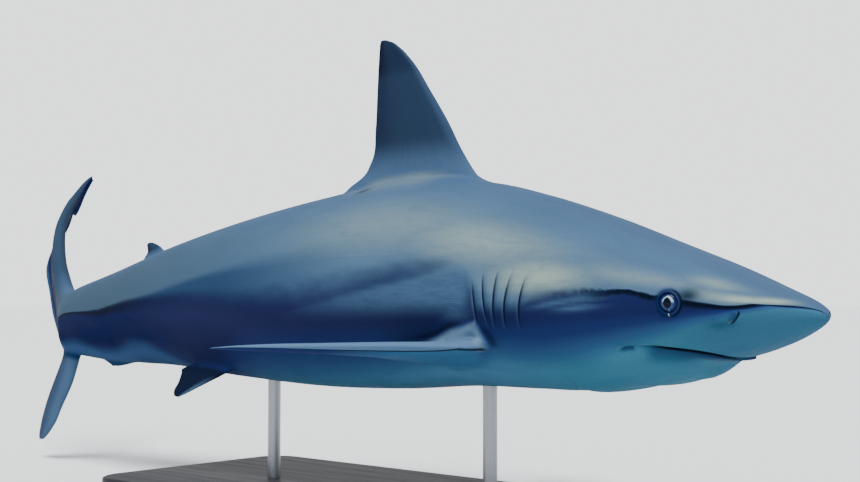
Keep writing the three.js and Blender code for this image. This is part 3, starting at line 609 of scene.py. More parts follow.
def fold_gills(places, normals, moved, folds):
    """Sinks the gill slits and raises the flaps between them."""
    s, _, h = places.T
    gills = (s > 16) & (s < 22.6) & (h > -3.2) & (h < 3)
    along, out, dark, dim, pale = gill_shift(s[gills], h[gills])
    moved[gills, 0] += along * MM
    moved[gills] += normals[gills] * out[:, None] * MM
    # The slits' painted shade and the painted highlight on their lips.
    folds[gills] = np.stack([dark, dim, pale], axis=1)


def fold_lids(places, side, moved, folds):
    """Draws the skin in round the eyeballs and raises the lids' rims."""
    lids = near_eye(places, -1, LID_REACH)
    across, height = eye_distance(places[lids])
    snapped = np.interp(across, *LID_SNAP)
    offset = right_side(places[lids]) - eye_spot - height[:, None] * MM * eye_axis
    level = height * ease(across, 12, 19) + np.interp(snapped, LID_PROFILE[:, 0], LID_PROFILE[:, 1])
    outward = offset * (snapped / np.maximum(across, 1e-6))[:, None]
    moved[lids] = (eye_spot + outward + level[:, None] * MM * eye_axis) * side[lids]
    forward = ease(-offset[:, 0] / np.maximum(across * MM, 1e-6), -0.1, 0.7)
    # Painted shade in the opening and the crease, darker lids, and a painted highlight on the front rim.
    crease = np.interp(snapped, *CREASE_SHADE) * mix(0.3, 1, forward)
    folds[lids, 0] = np.maximum(np.interp(snapped, *LID_OPENING_SHADE), crease)
    folds[lids, 1] = np.interp(snapped, *LID_DIM)
    folds[lids, 2] = np.interp(snapped, *LID_RIM_HIGHLIGHT) * forward


# How far the lines of the head reach, and how wide their dark line and dim side of painted shade are, all
# in millimetres, then on which side of the line the painted shade lies and how dark the line is.
MOUTH_FOLD = (26, 1.7, 24, -1, 0.9)
NOSTRIL_FOLD = (12, 1.3, 10, 1, 0.85)
FURROW_FOLD = (8, 1.2, 6, -1, 0.45)


def fold_line(line, line_normals, profile, fold, places, side, moved, folds):
    """Presses one of the small lines of the head into the skin."""
    reach, dark_width, dim_width, dim_side, depth = fold
    is_mouth = line is mouth_spots
    near = near_line(places, line, reach)
    index, far = nearest_on(right_side(places[near]), line)
    run = np.gradient(line, axis=0)[index]
    across = np.cross(run, line_normals[index])
    offset = right_side(places[near]) - line[index]
    sign = np.sign(np.einsum("ij,ij->i", offset, across))
    t = index / (len(line) - 1)
    t = t ** 1.5 if is_mouth else t
    swell = span_of_line(t, is_mouth)
    x = far * sign
    across /= np.linalg.norm(across, axis=1, keepdims=True)
    shift = (np.interp(x, profile[:, 0], profile[:, 1]) - x) * swell * (far < profile[-1, 0])
    rise = np.interp(x, profile[:, 0], profile[:, 2]) * swell
    step = across * shift[:, None] + line_normals[index] * rise[:, None]
    moved[near] += step * MM * side[near]
    # The line's dark and the dim beside it are painted shade, and the lip is a painted highlight.
    dark = depth * swell * np.clip(1.3 - far / dark_width, 0, 1)
    if is_mouth:
        dark *= np.where(places[near, 1] < 0, ease(t, 0.15, 0.5), 1)
        swell = 1 - ease(t, 0.84, 1)
    dim = 0.95 * swell * ease(far, dim_width, 0.15 * dim_width) * ease(x * dim_side, -2, 1)
    lip = depth * np.interp(x, [0.6, 1.2, 2.2, 3.4], [0, 0.7, 0.5, 0])
    lip *= ease(t, 0.66, 0.82) * (1 - ease(t, 0.9, 1))
    folds[near, 0] = np.maximum(folds[near, 0], dark)
    folds[near, 1] = np.maximum(folds[near, 1], dim)
    folds[near, 2] = np.maximum(folds[near, 2], lip)


# Heights in millimetres: the low ridge between the dorsal fins, and the pit before the tail.
RIDGE_HEIGHT = 1.4
PIT_DEPTH = 2.2


def detail_body(bm):
    """Raises and sinks the folds of the skin. Returns the shade and highlight painted on them: how dark,
    dim and pale they make the skin.
    """
    bm.normal_update()
    places = np.array([v.co for v in bm.verts])
    normals = np.array([v.normal for v in bm.verts])
    moved, folds = places.copy(), np.zeros((len(places), 3))
    s, w, h = places.T
    side = np.where(w < 0, -1, 1)[:, None] * (0, 1, 0) + (1, 0, 1)
    fold_gills(places, normals, moved, folds)
    fold_lids(places, side, moved, folds)
    for line, line_normals, profile, fold in [
        (mouth_spots, mouth_normals, MOUTH_PROFILE, MOUTH_FOLD),
        (nostril_spots, nostril_normals, NOSTRIL_PROFILE, NOSTRIL_FOLD),
        (furrow_spots, furrow_normals, FURROW_PROFILE, FURROW_FOLD),
    ]:
        fold_line(line, line_normals, profile, fold, places, side, moved, folds)
    shoulder = fin_shoulder(s, turn_of(s, w, h))
    moved += normals * (shoulder * SHOULDER_HEIGHT * MM)[:, None]
    ridge = bell(w, 0, 0.3) * ease(s, 39.5, 42) * (1 - ease(s, 58, 60.5)) * (h > 0)
    moved[:, 2] += ridge * RIDGE_HEIGHT * MM
    pit = bell(s, 74.3, 0.5) * bell(w, 0, 0.8) * (h > 0)
    moved[:, 2] -= pit * PIT_DEPTH * MM
    for v, place_now in zip(bm.verts, moved):
        v.co = place_now
    return folds


# ------------------------------------------------------------------ fins

SIDEWAYS = (0, 1, 0)
FIRST_DORSAL_KIND, SECOND_DORSAL_KIND, ANAL_KIND = 1, 2, 3
LOWER_LOBE_KIND, PECTORAL_KIND, PELVIC_KIND = 4, 5, 6


def fin_profile(c):
    """Half thickness along a chord: a round nose, then thinning to a fine edge."""
    return np.minimum(2.6 * np.sqrt(c) * (1 - c) ** 0.9, 1) * mix(1, 0.98, c)


def fin_blade(kind, knots, rows, up, chords):
    """A closed blade. Knots are (t, leading s w h, trailing s w h, half thickness)."""
    curves = [smooth_curve([(k[0], k[i]) for k in knots]) for i in range(1, 8)]
    bm = bmesh.new()
    bmesh.ops.create_grid(bm, x_segments=2 * chords, y_segments=len(rows) - 1, size=0.5)
    grid = np.array([v.co[:2] for v in bm.verts]) + 0.5
    column = np.rint(grid[:, 0] * 2 * chords)
    t = np.asarray(rows)[np.rint(grid[:, 1] * (len(rows) - 1)).astype(int)]
    face = np.where(column <= chords, 1, -1)
    c = (1 - np.cos(np.pi * np.minimum(column, 2 * chords - column) / chords)) / 2
    value = np.stack([curve(t) for curve in curves])
    edge = 0.03 * np.minimum(8 * np.sqrt(c * (1 - c)), 1)
    thick = face * np.maximum(value[6] * fin_profile(c), edge)
    spots = mix(value[:3], value[3:6], c) + np.outer(up, thick)
    for v, spot in zip(bm.verts, spots.T):
        v.co = spot
    share = (t - knots[0][0]) / (knots[-1][0] - knots[0][0])
    layer = bm.verts.layers.float_vector.new("fin_place")
    for v, chord, span, side in zip(bm.verts, c, share, face):
        v[layer] = (chord, span, kind * side)
    bmesh.ops.remove_doubles(bm, verts=bm.verts[:], dist=WELD_DISTANCE)
    bmesh.ops.holes_fill(bm, edges=[e for e in bm.edges if e.is_boundary], sides=0)
    bmesh.ops.recalc_face_normals(bm, faces=bm.faces[:])
    return bm


def upright(knots):
    """Upright fins: knots are (height, leading station, trailing station, half thickness)."""
    return [(h, lead, 0, h, trail, 0, h, half) for h, lead, trail, half in knots]


def steps(*spans):
    """Row places: (start, end, number) spans one after another."""
    return np.concatenate([np.linspace(a, b, n + 1)[i > 0:] for i, (a, b, n) in enumerate(spans)])


FIRST_DORSAL = upright([
    (7.6, 23.9, 38, 1.1), (8.35, 24.9, 40, 0.8), (8.65, 25.6, 39.55, 0.7), (9.1, 26.5, 38.75, 0.6),
    (9.6, 27, 37.75, 0.54), (10.7, 27.85, 36.85, 0.48), (13.3, 29.5, 36.48, 0.42),
    (15.6, 31.15, 36.42, 0.36), (18.1, 33.05, 36.36, 0.27), (19.3, 34.35, 36.3, 0.19),
    (19.78, 35.1, 36.25, 0.12), (20, 35.75, 36.15, 0.05),
])
SECOND_DORSAL = upright([
    (4, 59.8, 63.6, 0.36), (4.75, 60.5, 64.4, 0.22), (5, 60.8, 64.05, 0.2),
    (5.25, 61.05, 63.7, 0.18), (5.65, 61.7, 63.68, 0.15), (6, 62.5, 63.75, 0.1),
    (6.16, 63.05, 63.6, 0.04),
])
ANAL_FIN = upright([
    (-4.68, 67.6, 68.1, 0.04), (-4.64, 66.8, 68.4, 0.09), (-4.52, 65.6, 68.5, 0.14),
    (-4.32, 64.4, 69.1, 0.17), (-4.08, 63.5, 69.8, 0.2), (-3.88, 63, 69.2, 0.24),
    (-2.9, 62.2, 67.6, 0.4),
])
PECTORAL = [
    (0, 19.4, 3.6, -1.9, 25.2, 3.4, -3.2, 1.8), (0.1, 20.1, 5.6, -2.55, 25.7, 4.9, -3.8, 1.15),
    (0.17, 20.55, 6.35, -2.8, 27.8, 6.1, -4.1, 0.72), (0.23, 20.95, 7.05, -2.9, 28.15, 7.15, -3.98, 0.58),
    (0.31, 21.6, 8, -2.95, 27.9, 8.5, -3.83, 0.5), (0.5, 23.6, 10.7, -3, 28.4, 11.3, -3.68, 0.38),
    (0.7, 26.5, 13.9, -3.14, 29.7, 14.4, -3.56, 0.28), (0.86, 29.2, 16.6, -3.27, 31.25, 16.95, -3.52, 0.2),
    (0.95, 31, 18.1, -3.38, 32.2, 18.35, -3.5, 0.12), (1, 32.05, 18.92, -3.46, 32.45, 19, -3.48, 0.05),
]
PELVIC = [
    (0, 47, 1.3, -4, 52.2, 0.9, -3.9, 0.6), (0.2, 48, 2.35, -4.8, 53.6, 1.95, -4.5, 0.36),
    (0.35, 48.8, 2.75, -5.25, 54.6, 2.6, -4.95, 0.28), (0.5, 49.8, 3.1, -5.72, 54.3, 3, -5.4, 0.24),
    (0.75, 51.6, 3.6, -6.55, 54, 3.55, -6.2, 0.17), (0.93, 52.75, 3.95, -7.1, 53.95, 3.98, -6.9, 0.1),
    (1, 53.25, 4.08, -7.3, 53.75, 4.1, -7.2, 0.04),
]
LOWER_LOBE = [
    (h, lead_s, lead_w, h, trail_s, trail_w, h, half)
    for h, lead_s, lead_w, trail_s, trail_w, half in [
        (-11.42, 80.9, 0.6, 82, 0.8, 0.08), (-11.1, 80.15, 0.5, 82.2, 0.82, 0.15),
        (-10.1, 78.5, 0.32, 82, 0.76, 0.22), (-8.3, 77, 0.16, 81, 0.58, 0.3),
        (-6, 75.2, 0.04, 79.4, 0.28, 0.4), (-4.3, 74.5, 0, 78.1, 0.1, 0.5),
        (-3.3, 74.1, 0, 77.5, 0, 0.56), (-1, 74.6, 0, 78, 0, 0.7), (1, 76, 0, 79, 0, 0.7),
    ]
]
PELVIC_ROOT = Vector((0, 2.35, -4.75))
LEFT_PELVIC_SPREAD = 42
PECTORAL_UP = (0.12, 0.06, 0.99)
PELVIC_UP = (0, 0.84, 0.54)


def paired(kind, knots, rows, up, chords, side, spread=0, root=Vector((0, 0, 0))):
    """A fin of the right side, turned about its root and mirrored for the left."""
    bm = fin_blade(kind, knots, rows, up, chords)
    turn = Matrix.Rotation(math.radians(spread), 3, "X")
    bmesh.ops.rotate(bm, verts=bm.verts[:], cent=root, matrix=turn)
    if side < 0:
        bmesh.ops.scale(bm, verts=bm.verts[:], vec=(1, -1, 1))
        bmesh.ops.reverse_faces(bm, faces=bm.faces[:])
    return bm


def all_fins():
    pectoral_rows = steps((0, 0.1, 4), (0.1, 0.34, 14), (0.34, 0.86, 24), (0.86, 0.95, 6), (0.95, 1, 5))
    pelvic_rows = steps((0, 0.2, 5), (0.2, 0.5, 10), (0.5, 0.93, 12), (0.93, 1, 4))
    first_rows = steps((7.6, 8.6, 8), (8.6, 9.6, 14), (9.6, 12, 12), (12, 19, 26), (19, 20, 8))
    second_rows = steps((4, 4.6, 4), (4.6, 5.65, 12), (5.65, 6.16, 7))
    anal_rows = steps((-4.82, -4.6, 5), (-4.6, -3.7, 12), (-3.7, -2.9, 4))
    lobe_rows = steps((-11.42, -10.1, 10), (-10.1, -3, 28), (-3, 1, 8))
    fins = [
        fin_blade(FIRST_DORSAL_KIND, FIRST_DORSAL, first_rows, SIDEWAYS, 36),
        fin_blade(SECOND_DORSAL_KIND, SECOND_DORSAL, second_rows, SIDEWAYS, 18),
        fin_blade(ANAL_KIND, ANAL_FIN, anal_rows, SIDEWAYS, 18),
        fin_blade(LOWER_LOBE_KIND, LOWER_LOBE, lobe_rows, SIDEWAYS, 22),
    ]
    for side, spread in [(1, 0), (-1, LEFT_PELVIC_SPREAD)]:
        fins.append(paired(PECTORAL_KIND, PECTORAL, pectoral_rows, PECTORAL_UP, 28, side))
        fins.append(paired(PELVIC_KIND, PELVIC, pelvic_rows, PELVIC_UP, 20, side, spread, PELVIC_ROOT))
    return fins


# ------------------------------------------------------------------ one skin from all the flesh

SEAM_REACH = 0.85                # how far a fin's root is rounded into the body
FLESH = [
    "head", "lower_jaw", "trunk_front", "trunk_rear", "tail_stock", "first_dorsal_fin",
    "second_dorsal_fin", "anal_fin", "pectoral_fin_right", "pectoral_fin_left",
    "pelvic_fin_right", "pelvic_fin_left", "tail_fin_upper_lobe", "tail_fin_lower_lobe",
]


def new_piece(name, bm):
    mesh = bpy.data.meshes.new(name)
    bm.to_mesh(mesh)
    bm.free()
    piece = bpy.data.objects.new(name, mesh)
    bpy.context.scene.collection.objects.link(piece)
    return piece


def distances(tree, points, reach):
    """Distance from each point to a surface, or reach where it is further off."""
    found = (tree.find_nearest(Vector(p), reach)[3] for p in points)
    return np.array([reach if d is None else d for d in found])


def united(body_bm, fin_bms):
    """The body and fins as one closed bmesh, search trees of both, and the fins' own points."""
    body_tree = BVHTree.FromBMesh(body_bm)
    body = new_piece("body_form", body_bm)
    joined = bmesh.new()
    for fin in fin_bms:
        piece = bpy.data.meshes.new("fin")
        fin.to_mesh(piece)
        fin.free()
        joined.from_mesh(piece)
        bpy.data.meshes.remove(piece)
    fin_tree = BVHTree.FromBMesh(joined)
    fin_layer = joined.verts.layers.float_vector["fin_place"]
    fin_places = np.array([v[fin_layer] for v in joined.verts])
    fin_points = np.array([v.co for v in joined.verts])
    fins = new_piece("fin_form", joined)
    union = body.modifiers.new("union", "BOOLEAN")
    union.operation, union.solver, union.object = "UNION", "MANIFOLD", fins
    whole = bmesh.new()
    whole.from_object(body, bpy.context.evaluated_depsgraph_get())
    for piece in (body, fins):
        mesh = piece.data
        bpy.data.objects.remove(piece)
        bpy.data.meshes.remove(mesh)
    return whole, body_tree, fin_tree, fin_points, fin_places


def round_roots(bm, body_tree, fin_tree):
    """Rounds the line where each fin leaves the body."""
    def closeness():
        points = [v.co for v in bm.verts]
        return np.maximum(distances(body_tree, points, 1), distances(fin_tree, points, 1))

    near = closeness() < SEAM_REACH * 0.8
    long_edges = [e for e in bm.edges if near[e.verts[0].index] and near[e.verts[1].index]
                  and e.calc_length() > 4.5 * MM]
    bmesh.ops.subdivide_edges(bm, edges=long_edges, cuts=1)
    bmesh.ops.triangulate(bm, faces=[f for f in bm.faces if len(f.verts) > 4])
    bm.verts.index_update()
    bm.verts.ensure_lookup_table()
    far = closeness()
    for reach, passes in [(0.25, 8), (0.5, 8), (SEAM_REACH, 6), (0.4, 4)]:
        chosen = [bm.verts[i] for i in np.flatnonzero(far < reach)]
        for _ in range(passes):
            bmesh.ops.smooth_vert(bm, verts=chosen, factor=0.5, use_axis_x=True, use_axis_y=True,
                                  use_axis_z=True)


def nearest_values(points, sources, values):
    """For each point, the value of the nearest source point."""
    tree = KDTree(len(sources))
    for i, source in enumerate(sources):
        tree.insert(source, i)
    tree.balance()
    return np.array([values[tree.find(p)[1]] for p in points])


def set_attribute(mesh, name, kind, values):
    if name in mesh.attributes:
        mesh.attributes.remove(mesh.attributes[name])
    attribute = mesh.attributes.new(name, kind, "POINT")
    key = "vector" if kind == "FLOAT_VECTOR" else "value"
    attribute.data.foreach_set(key, np.asarray(values, np.float32).ravel())


# ------------------------------------------------------------------ where the skin's colours lie

# The pale back ends at one line and the dark flank at another, further down. Beside the animal's own two
# tones, the pale holds painted light from above and the dark holds painted shade.
BACK_LINE = smooth_curve([
    (0, 38), (0.5, 52), (1.2, 67), (2, 81), (2.8, 91), (4, 96), (5, 94), (6.1, 91), (7.2, 87),
    (8.2, 85), (8.9, 83), (9.6, 81), (11, 82), (12, 82.5), (13.5, 84), (15, 86), (17, 89),
    (20, 90), (21, 86), (22, 78), (24, 75.5), (26, 76), (30, 79), (35, 83.5), (40, 85), (45, 84.5),
    (50, 82.5), (55, 80.5), (58, 80.5), (62, 81.5), (65, 84.5), (67, 86.5), (70, 85.5),
    (72, 83.5), (76, 81), (80, 60), (95, 60),
])
BACK_LINE_WIDTH = smooth_curve([
    (0, 3), (2, 2.5), (4, 1.8), (6, 2.5), (8.6, 2), (11, 1.6), (12, 2.5), (15, 5), (20, 7),
    (26, 10), (35, 11), (45, 7), (55, 4.5), (65, 3.5), (75, 3), (80, 12), (95, 12),
])
FLANK_LINE = smooth_curve([
    (0, 45), (1, 74), (2, 90), (3, 99), (4, 104), (6, 109.5), (8, 114), (10, 118), (13, 119.5), (17, 120.5),
    (20, 120), (24, 122), (28, 125), (34, 128), (40, 131), (44, 135), (47, 146), (50, 166),
    (53, 168), (56, 150), (59, 134), (62, 131), (65, 142), (68, 142), (71, 134), (76, 134), (95, 150),
])
FLANK_LINE_WIDTH = smooth_curve([
    (0, 3), (3, 2.5), (6, 3.4), (9, 6), (14, 7), (20, 7), (30, 9), (50, 13), (72, 13), (95, 20),
])
SHADE_LINE = smooth_curve([
    (26, 70), (30, 68), (36, 63), (40, 62.5), (45, 65), (50, 69), (55, 74), (60, 80), (64, 84),
])
STREAK_LINE = smooth_curve([
    (21, 63), (22, 67), (23, 71.5), (25, 77), (30, 83), (35, 88.5), (38, 93), (40.5, 100),
])


# Soft patches: strength, middle as (station, turn), half size, and the slope of its length.
PALE_FINGERS = [
    (1, (12.9, 89), (1.3, 3), 1.6), (0.9, (14.6, 91.8), (1.8, 2.5), 1.6),
    (0.75, (13.4, 96), (1.5, 2.4), 0.3), (0.6, (22.6, 95), (1.2, 8), 0),
]
# Painted highlights where the light catches the top of the head, the gills and the back.
PAINTED_HIGHLIGHTS = [
    (0.8, (16.3, 76), (3.2, 9), 0.6), (0.5, (21.5, 60), (6, 12), 0), (0.3, (30, 54), (9, 14), 0),
    (0.3, (9.5, 68), (5, 8), 0),
]
WRINKLED_PATCHES = [(1, (22.4, 94), (1.6, 11), 0), (1, (14, 92), (3, 9), 0)]
# Painted shade: before the eye, beneath the pectoral fin's root, by the nostril and under the first dorsal
# fin's free rear tip.
PAINTED_SHADOWS = [
    (0.95, (6.15, 82), (0.72, 12), 4), (0.5, (13.3, 84), (1.7, 1.3), 1.5),
    (0.3, (24.2, 143), (0.8, 1.8), 0), (0.4, (4.5, 119), (0.8, 6), 0),
    (0.9, (35.3, 21.5), (0.6, 3.5), 0),
]


def spot_of(s, turn, middle, size, slope):
    ds, dt = s - middle[0], turn - middle[1]
    return np.exp(-((ds / size[0]) ** 2) - ((dt - slope * ds) / size[1]) ** 2)


def with_spots(field, s, turn, spots):
    """A field of strengths with soft patches laid over it."""
    for strength, middle, size, slope in spots:
        field = np.maximum(field, strength * spot_of(s, turn, middle, size, slope))
    return field


def colour_bands(s, turn):
    """Above the back's line, below the flank's line, both in widths of the line, and the turn."""
    above = (BACK_LINE(s) - turn) / BACK_LINE_WIDTH(s)
    below = (turn - FLANK_LINE(s)) / FLANK_LINE_WIDTH(s)
    return np.stack([np.clip(above, -9, 9), np.clip(below, -9, 9), turn / 180], axis=1)


def colour_patches(s, turn):
    """Where the flank's shade, its pale streaks and the painted highlights of the head and back lie."""
    shade = ease(turn, SHADE_LINE(s) - 2.5, SHADE_LINE(s) + mix(9, 3, ease(s, 40, 52)))
    shade = shade * ease(s, 30, 50) * (1 - ease(s, 60, 66))
    # The pale streak along the flank and the paleness of the gill flaps are painted light.
    below = turn - STREAK_LINE(s)
    streak = ease(below, -1.0, 1.6) * (1 - ease(turn, 86, 104)) * ease(s, 20.8, 22.2)
    streak = streak * mix(1, 0, ease(s, 24, 41.5)) ** 0.7
    flaps = ease(s, 16.4, 17.8) * (1 - ease(s, 20.9, 21.4)) * (1 - ease(turn, 87, 101))
    streaks = with_spots(np.maximum(streak, flaps), s, turn, PALE_FINGERS)
    # Painted highlights: on the snout, in the patches above, and along the top of the back.
    snout = bell(BACK_LINE(s) - turn, 16, 12) * ease(s, 0.6, 2)
    snout = snout * mix(0.45, 1, 1 - ease(s, 3.2, 4.8)) * (1 - ease(s, 5, 7.2))
    glow = 0.85 * np.maximum(snout, 0.5 * spot_of(s, turn, (5.0, 55), (1.4, 10), 2))
    glow = with_spots(glow, s, turn, PAINTED_HIGHLIGHTS)
    top = (1 - ease(turn, 15, 32)) * ease(s, 28, 31) * (1 - ease(s, 35.5, 38))
    glow = np.maximum(glow, 0.22 * top)
    return np.stack([shade, streaks, glow], axis=1)


def shoulder_wrinkles_and_shade(s, turn):
    """The painted highlight on the shoulder of the pectoral fin, wrinkled skin, and small spots and lines
    of painted shade.
    """
    shoulder = fin_shoulder(s, turn)
    wrinkled = 0.8 * bell(turn, BACK_LINE(s) - 2, 4) * ease(s, 8.5, 9.5) * (s < 14)
    wrinkled = with_spots(wrinkled, s, turn, WRINKLED_PATCHES)
    # Painted shade just above the shoulder's upper edge and in front of the shoulder.
    over = bell(turn, SHOULDER_TOP(s) - 2.2, 2.2) * ease(s, 21.6, 23) * (1 - ease(s, 25, 27.5))
    front = bell(s, SHOULDER_FRONT(turn) - 0.38, 0.36) * ease(turn, 106, 112) * (1 - ease(turn, 120, 125))
    painted_shade = with_spots(np.maximum(0.8 * over, 0.7 * front), s, turn, PAINTED_SHADOWS)
    # The painted highlight on the raised shoulder, brightest along its ridge.
    shoulder = shoulder * mix(0.55, 1, shoulder_ridge(s, turn))
    return np.stack([shoulder, wrinkled, painted_shade], axis=1)


def fin_tints(chord, span, kind):
    """How pale and dark the fins are, and which points are on a pectoral fin."""
    under = kind < 0
    kind = np.abs(kind)
    rear = ease(chord, 0.55, 1)
    height = mix(FIRST_DORSAL[0][0], FIRST_DORSAL[-1][0], span)
    kinds = [kind == k for k in (FIRST_DORSAL_KIND, SECOND_DORSAL_KIND, ANAL_KIND, LOWER_LOBE_KIND,
                                 PECTORAL_KIND, PELVIC_KIND)]
    # The pectoral fin's pale leading edge, above and below, is painted light.
    pale = np.select(kinds, [
        np.maximum(0.32 * (1 - ease(height, 9.4, 12.2)), 0.16 * (1 - ease(chord, 0.02, 0.12))),
        0.2 * (1 - ease(span, 0.2, 0.7)),
        0 * chord,
        0.42 * (1 - ease(chord, 0.1, 0.6)),
        np.where(under, mix(0.75, 1, ease(chord, 0, 0.03)), 0.75 * (1 - ease(chord, 0.1, 0.5))),
        0.5 * (1 - ease(chord, 0.02, 0.2)) * ease(span, 0.45, 0.8),
    ], 0)
    dark = np.select(kinds, [
        np.maximum(ease(height, 9.6, 12.6) * 0.78, ease(height, 14.5, 18)) * (0.78 + 0.22 * rear),
        0.5 + 0.4 * rear,
        0 * chord + 1,
        0.1 + 0.3 * rear,
        np.maximum(0.3 * rear, 0.6 * ease(span, 0.88, 1)),
        0 * chord + 1,
    ], 0)
    return np.stack([pale, dark, kind == PECTORAL_KIND], axis=1)


def shark_skin():
    body = body_grid()
    folds = detail_body(body)
    body_points = np.array([v.co for v in body.verts])
    whole, body_tree, fin_tree, fin_points, fin_places = united(body, all_fins())
    round_roots(whole, body_tree, fin_tree)
    points = np.array([v.co for v in whole.verts])
    off_body = distances(body_tree, points, 3)
    on_fin = ease(off_body, 0.05, 0.9)
    sources = np.concatenate([body_points, fin_points])
    values = np.zeros((len(sources), 6))
    values[:len(body_points), :3] = folds
    values[len(body_points):, 3:] = fin_places
    values = nearest_values(points, sources, values)
    for v, spot in zip(whole.verts, place(points)):
        v.co = spot
    bmesh.ops.recalc_face_normals(whole, faces=whole.faces[:])
    for face in whole.faces:
        face.smooth = True
    skin = new_piece("shark_skin", whole)
    folds = values[:, :3]
    chord, span, kind = values[:, 3:].T
    s, w, h = points.T
    turn = turn_of(s, w, h)
    set_attribute(skin.data, "body_place", "FLOAT_VECTOR", points)
    facing = np.where(kind < 0, chord, -chord)
    set_attribute(skin.data, "fin_place", "FLOAT_VECTOR", np.stack([facing, span, on_fin], axis=1))
    set_attribute(skin.data, "fin_tint", "FLOAT_VECTOR", fin_tints(chord, span, kind))
    set_attribute(skin.data, "bands", "FLOAT_VECTOR", colour_bands(s, turn))
    patches = colour_patches(s, turn)
    # A painted highlight along the crest where the first dorsal fin rises from the back.
    crest_highlight = bell(on_fin, 0.1, 0.16) * (kind == FIRST_DORSAL_KIND) * ease(off_body, 0.03, 0.08)
    patches[:, 2] = np.maximum(patches[:, 2], 0.24 * crest_highlight * ease(s, 38.5, 35) * ease(s, 26.5, 31))
    set_attribute(skin.data, "patches", "FLOAT_VECTOR", patches)
    set_attribute(skin.data, "shading_and_wrinkles", "FLOAT_VECTOR", shoulder_wrinkles_and_shade(s, turn))
    set_attribute(skin.data, "folds", "FLOAT_VECTOR", folds)
    return skin


# ------------------------------------------------------------------ eyes

PUPIL = (4.5, 6)                 # half width and half height in millimetres
IRIS_EDGE = 9.6


def eyeball(name, side):
    """A ball whose points know their place on the eye: forward, up and out, in millimetres."""
    mirror = np.array([1, side, 1])
    centre = (eye_spot - eye_axis * EYE_DEPTH * MM) * mirror
    axis = eye_axis * mirror
    forward = np.array([-1.0, 0, 0])
    forward -= axis * (forward @ axis)
    forward /= np.linalg.norm(forward)
    up = np.cross(axis, forward)
    up *= np.sign(up[2])
    bm = bmesh.new()
    bmesh.ops.create_icosphere(bm, subdivisions=6, radius=1)
    local = np.array([v.co for v in bm.verts])
    spots = centre + EYE_RADIUS * MM * (
        np.outer(local[:, 0], forward) + np.outer(local[:, 1], up) + np.outer(local[:, 2], axis))
    for v, spot in zip(bm.verts, place(spots)):
        v.co = spot
    bmesh.ops.recalc_face_normals(bm, faces=bm.faces[:])
    for face in bm.faces:
        face.smooth = True
    ball = new_piece(name, bm)
    set_attribute(ball.data, "eye_place", "FLOAT_VECTOR", local * EYE_RADIUS)
    return ball


# ------------------------------------------------------------------ materials

def paint(red, green, blue):
    """A colour given as seen on screen, 0 to 255, as the linear values that shaders take."""
    channels = [c / 255 for c in (red, green, blue)]
    return tuple(c / 12.92 if c <= 0.04045 else ((c + 0.055) / 1.055) ** 2.4 for c in channels) + (1,)


class Recipe:
    """Adds shader nodes to one node tree and links them."""

    def __init__(self, tree):
        self.tree = tree

    def add(self, kind, **settings):
        node = self.tree.nodes.new(kind)
        for name, value in settings.items():
            setattr(node, name, value)
        return node

    def feed(self, socket, value):
        if isinstance(value, bpy.types.NodeSocket):
            self.tree.links.new(value, socket)
        else:
            socket.default_value = value

    def math(self, operation, a, b=0.0):
        node = self.add("ShaderNodeMath", operation=operation)
        self.feed(node.inputs[0], a)
        self.feed(node.inputs[1], b)
        return node.outputs[0]

    def times(self, *values):
        product = values[0]
        for value in values[1:]:
            product = self.math("MULTIPLY", product, value)
        return product

    def plus(self, a, b):
        return self.math("ADD", a, b)

    def minus(self, a, b):
        return self.math("SUBTRACT", a, b)

    def divided(self, a, b):
        return self.math("DIVIDE", a, b)

    def larger(self, a, b):
        return self.math("MAXIMUM", a, b)

    def ease(self, value, low, high, start=0.0, end=1.0):
        node = self.add("ShaderNodeMapRange", interpolation_type="SMOOTHSTEP")
        for index, number in enumerate([value, low, high, start, end]):
            self.feed(node.inputs[index], number)
        return node.outputs[0]

    def blend(self, share, a, b):
        """Colour a turning into colour b."""
        node = self.add("ShaderNodeMix", data_type="RGBA")
        for index, value in [(0, share), (6, a), (7, b)]:
            self.feed(node.inputs[index], value)
        return node.outputs[2]

    def parts(self, vector):
        node = self.add("ShaderNodeSeparateXYZ")
        self.feed(node.inputs[0], vector)
        return node.outputs[0], node.outputs[1], node.outputs[2]

    def joined(self, x, y, z):
        node = self.add("ShaderNodeCombineXYZ")
        for index, value in enumerate([x, y, z]):
            self.feed(node.inputs[index], value)
        return node.outputs[0]

    def stretched(self, vector, scales):
        node = self.add("ShaderNodeVectorMath", operation="MULTIPLY")
        self.feed(node.inputs[0], vector)
        self.feed(node.inputs[1], scales)
        return node.outputs[0]

    def noise(self, place, scale, detail=2.0, roughness=0.5, distortion=0.0):
        node = self.add("ShaderNodeTexNoise")
        for name, value in [("Vector", place), ("Scale", scale), ("Detail", detail),
                            ("Roughness", roughness), ("Distortion", distortion)]:
            self.feed(node.inputs[name], value)
        return node.outputs[0]

    def attribute(self, name):
        return self.add("ShaderNodeAttribute", attribute_name=name).outputs["Vector"]

    def bump(self, height, strength, distance, normal=None):
        node = self.add("ShaderNodeBump")
        self.feed(node.inputs["Strength"], strength)
        self.feed(node.inputs["Distance"], distance)
        self.feed(node.inputs["Height"], height)
        if normal is not None:
            self.feed(node.inputs["Normal"], normal)
        return node.outputs[0]


def new_material(name):
    """A material with a recipe for its nodes and its own Principled BSDF."""
    material = bpy.data.materials.new(name)
    material.use_nodes = True
    return material, Recipe(material.node_tree), material.node_tree.nodes["Principled BSDF"]


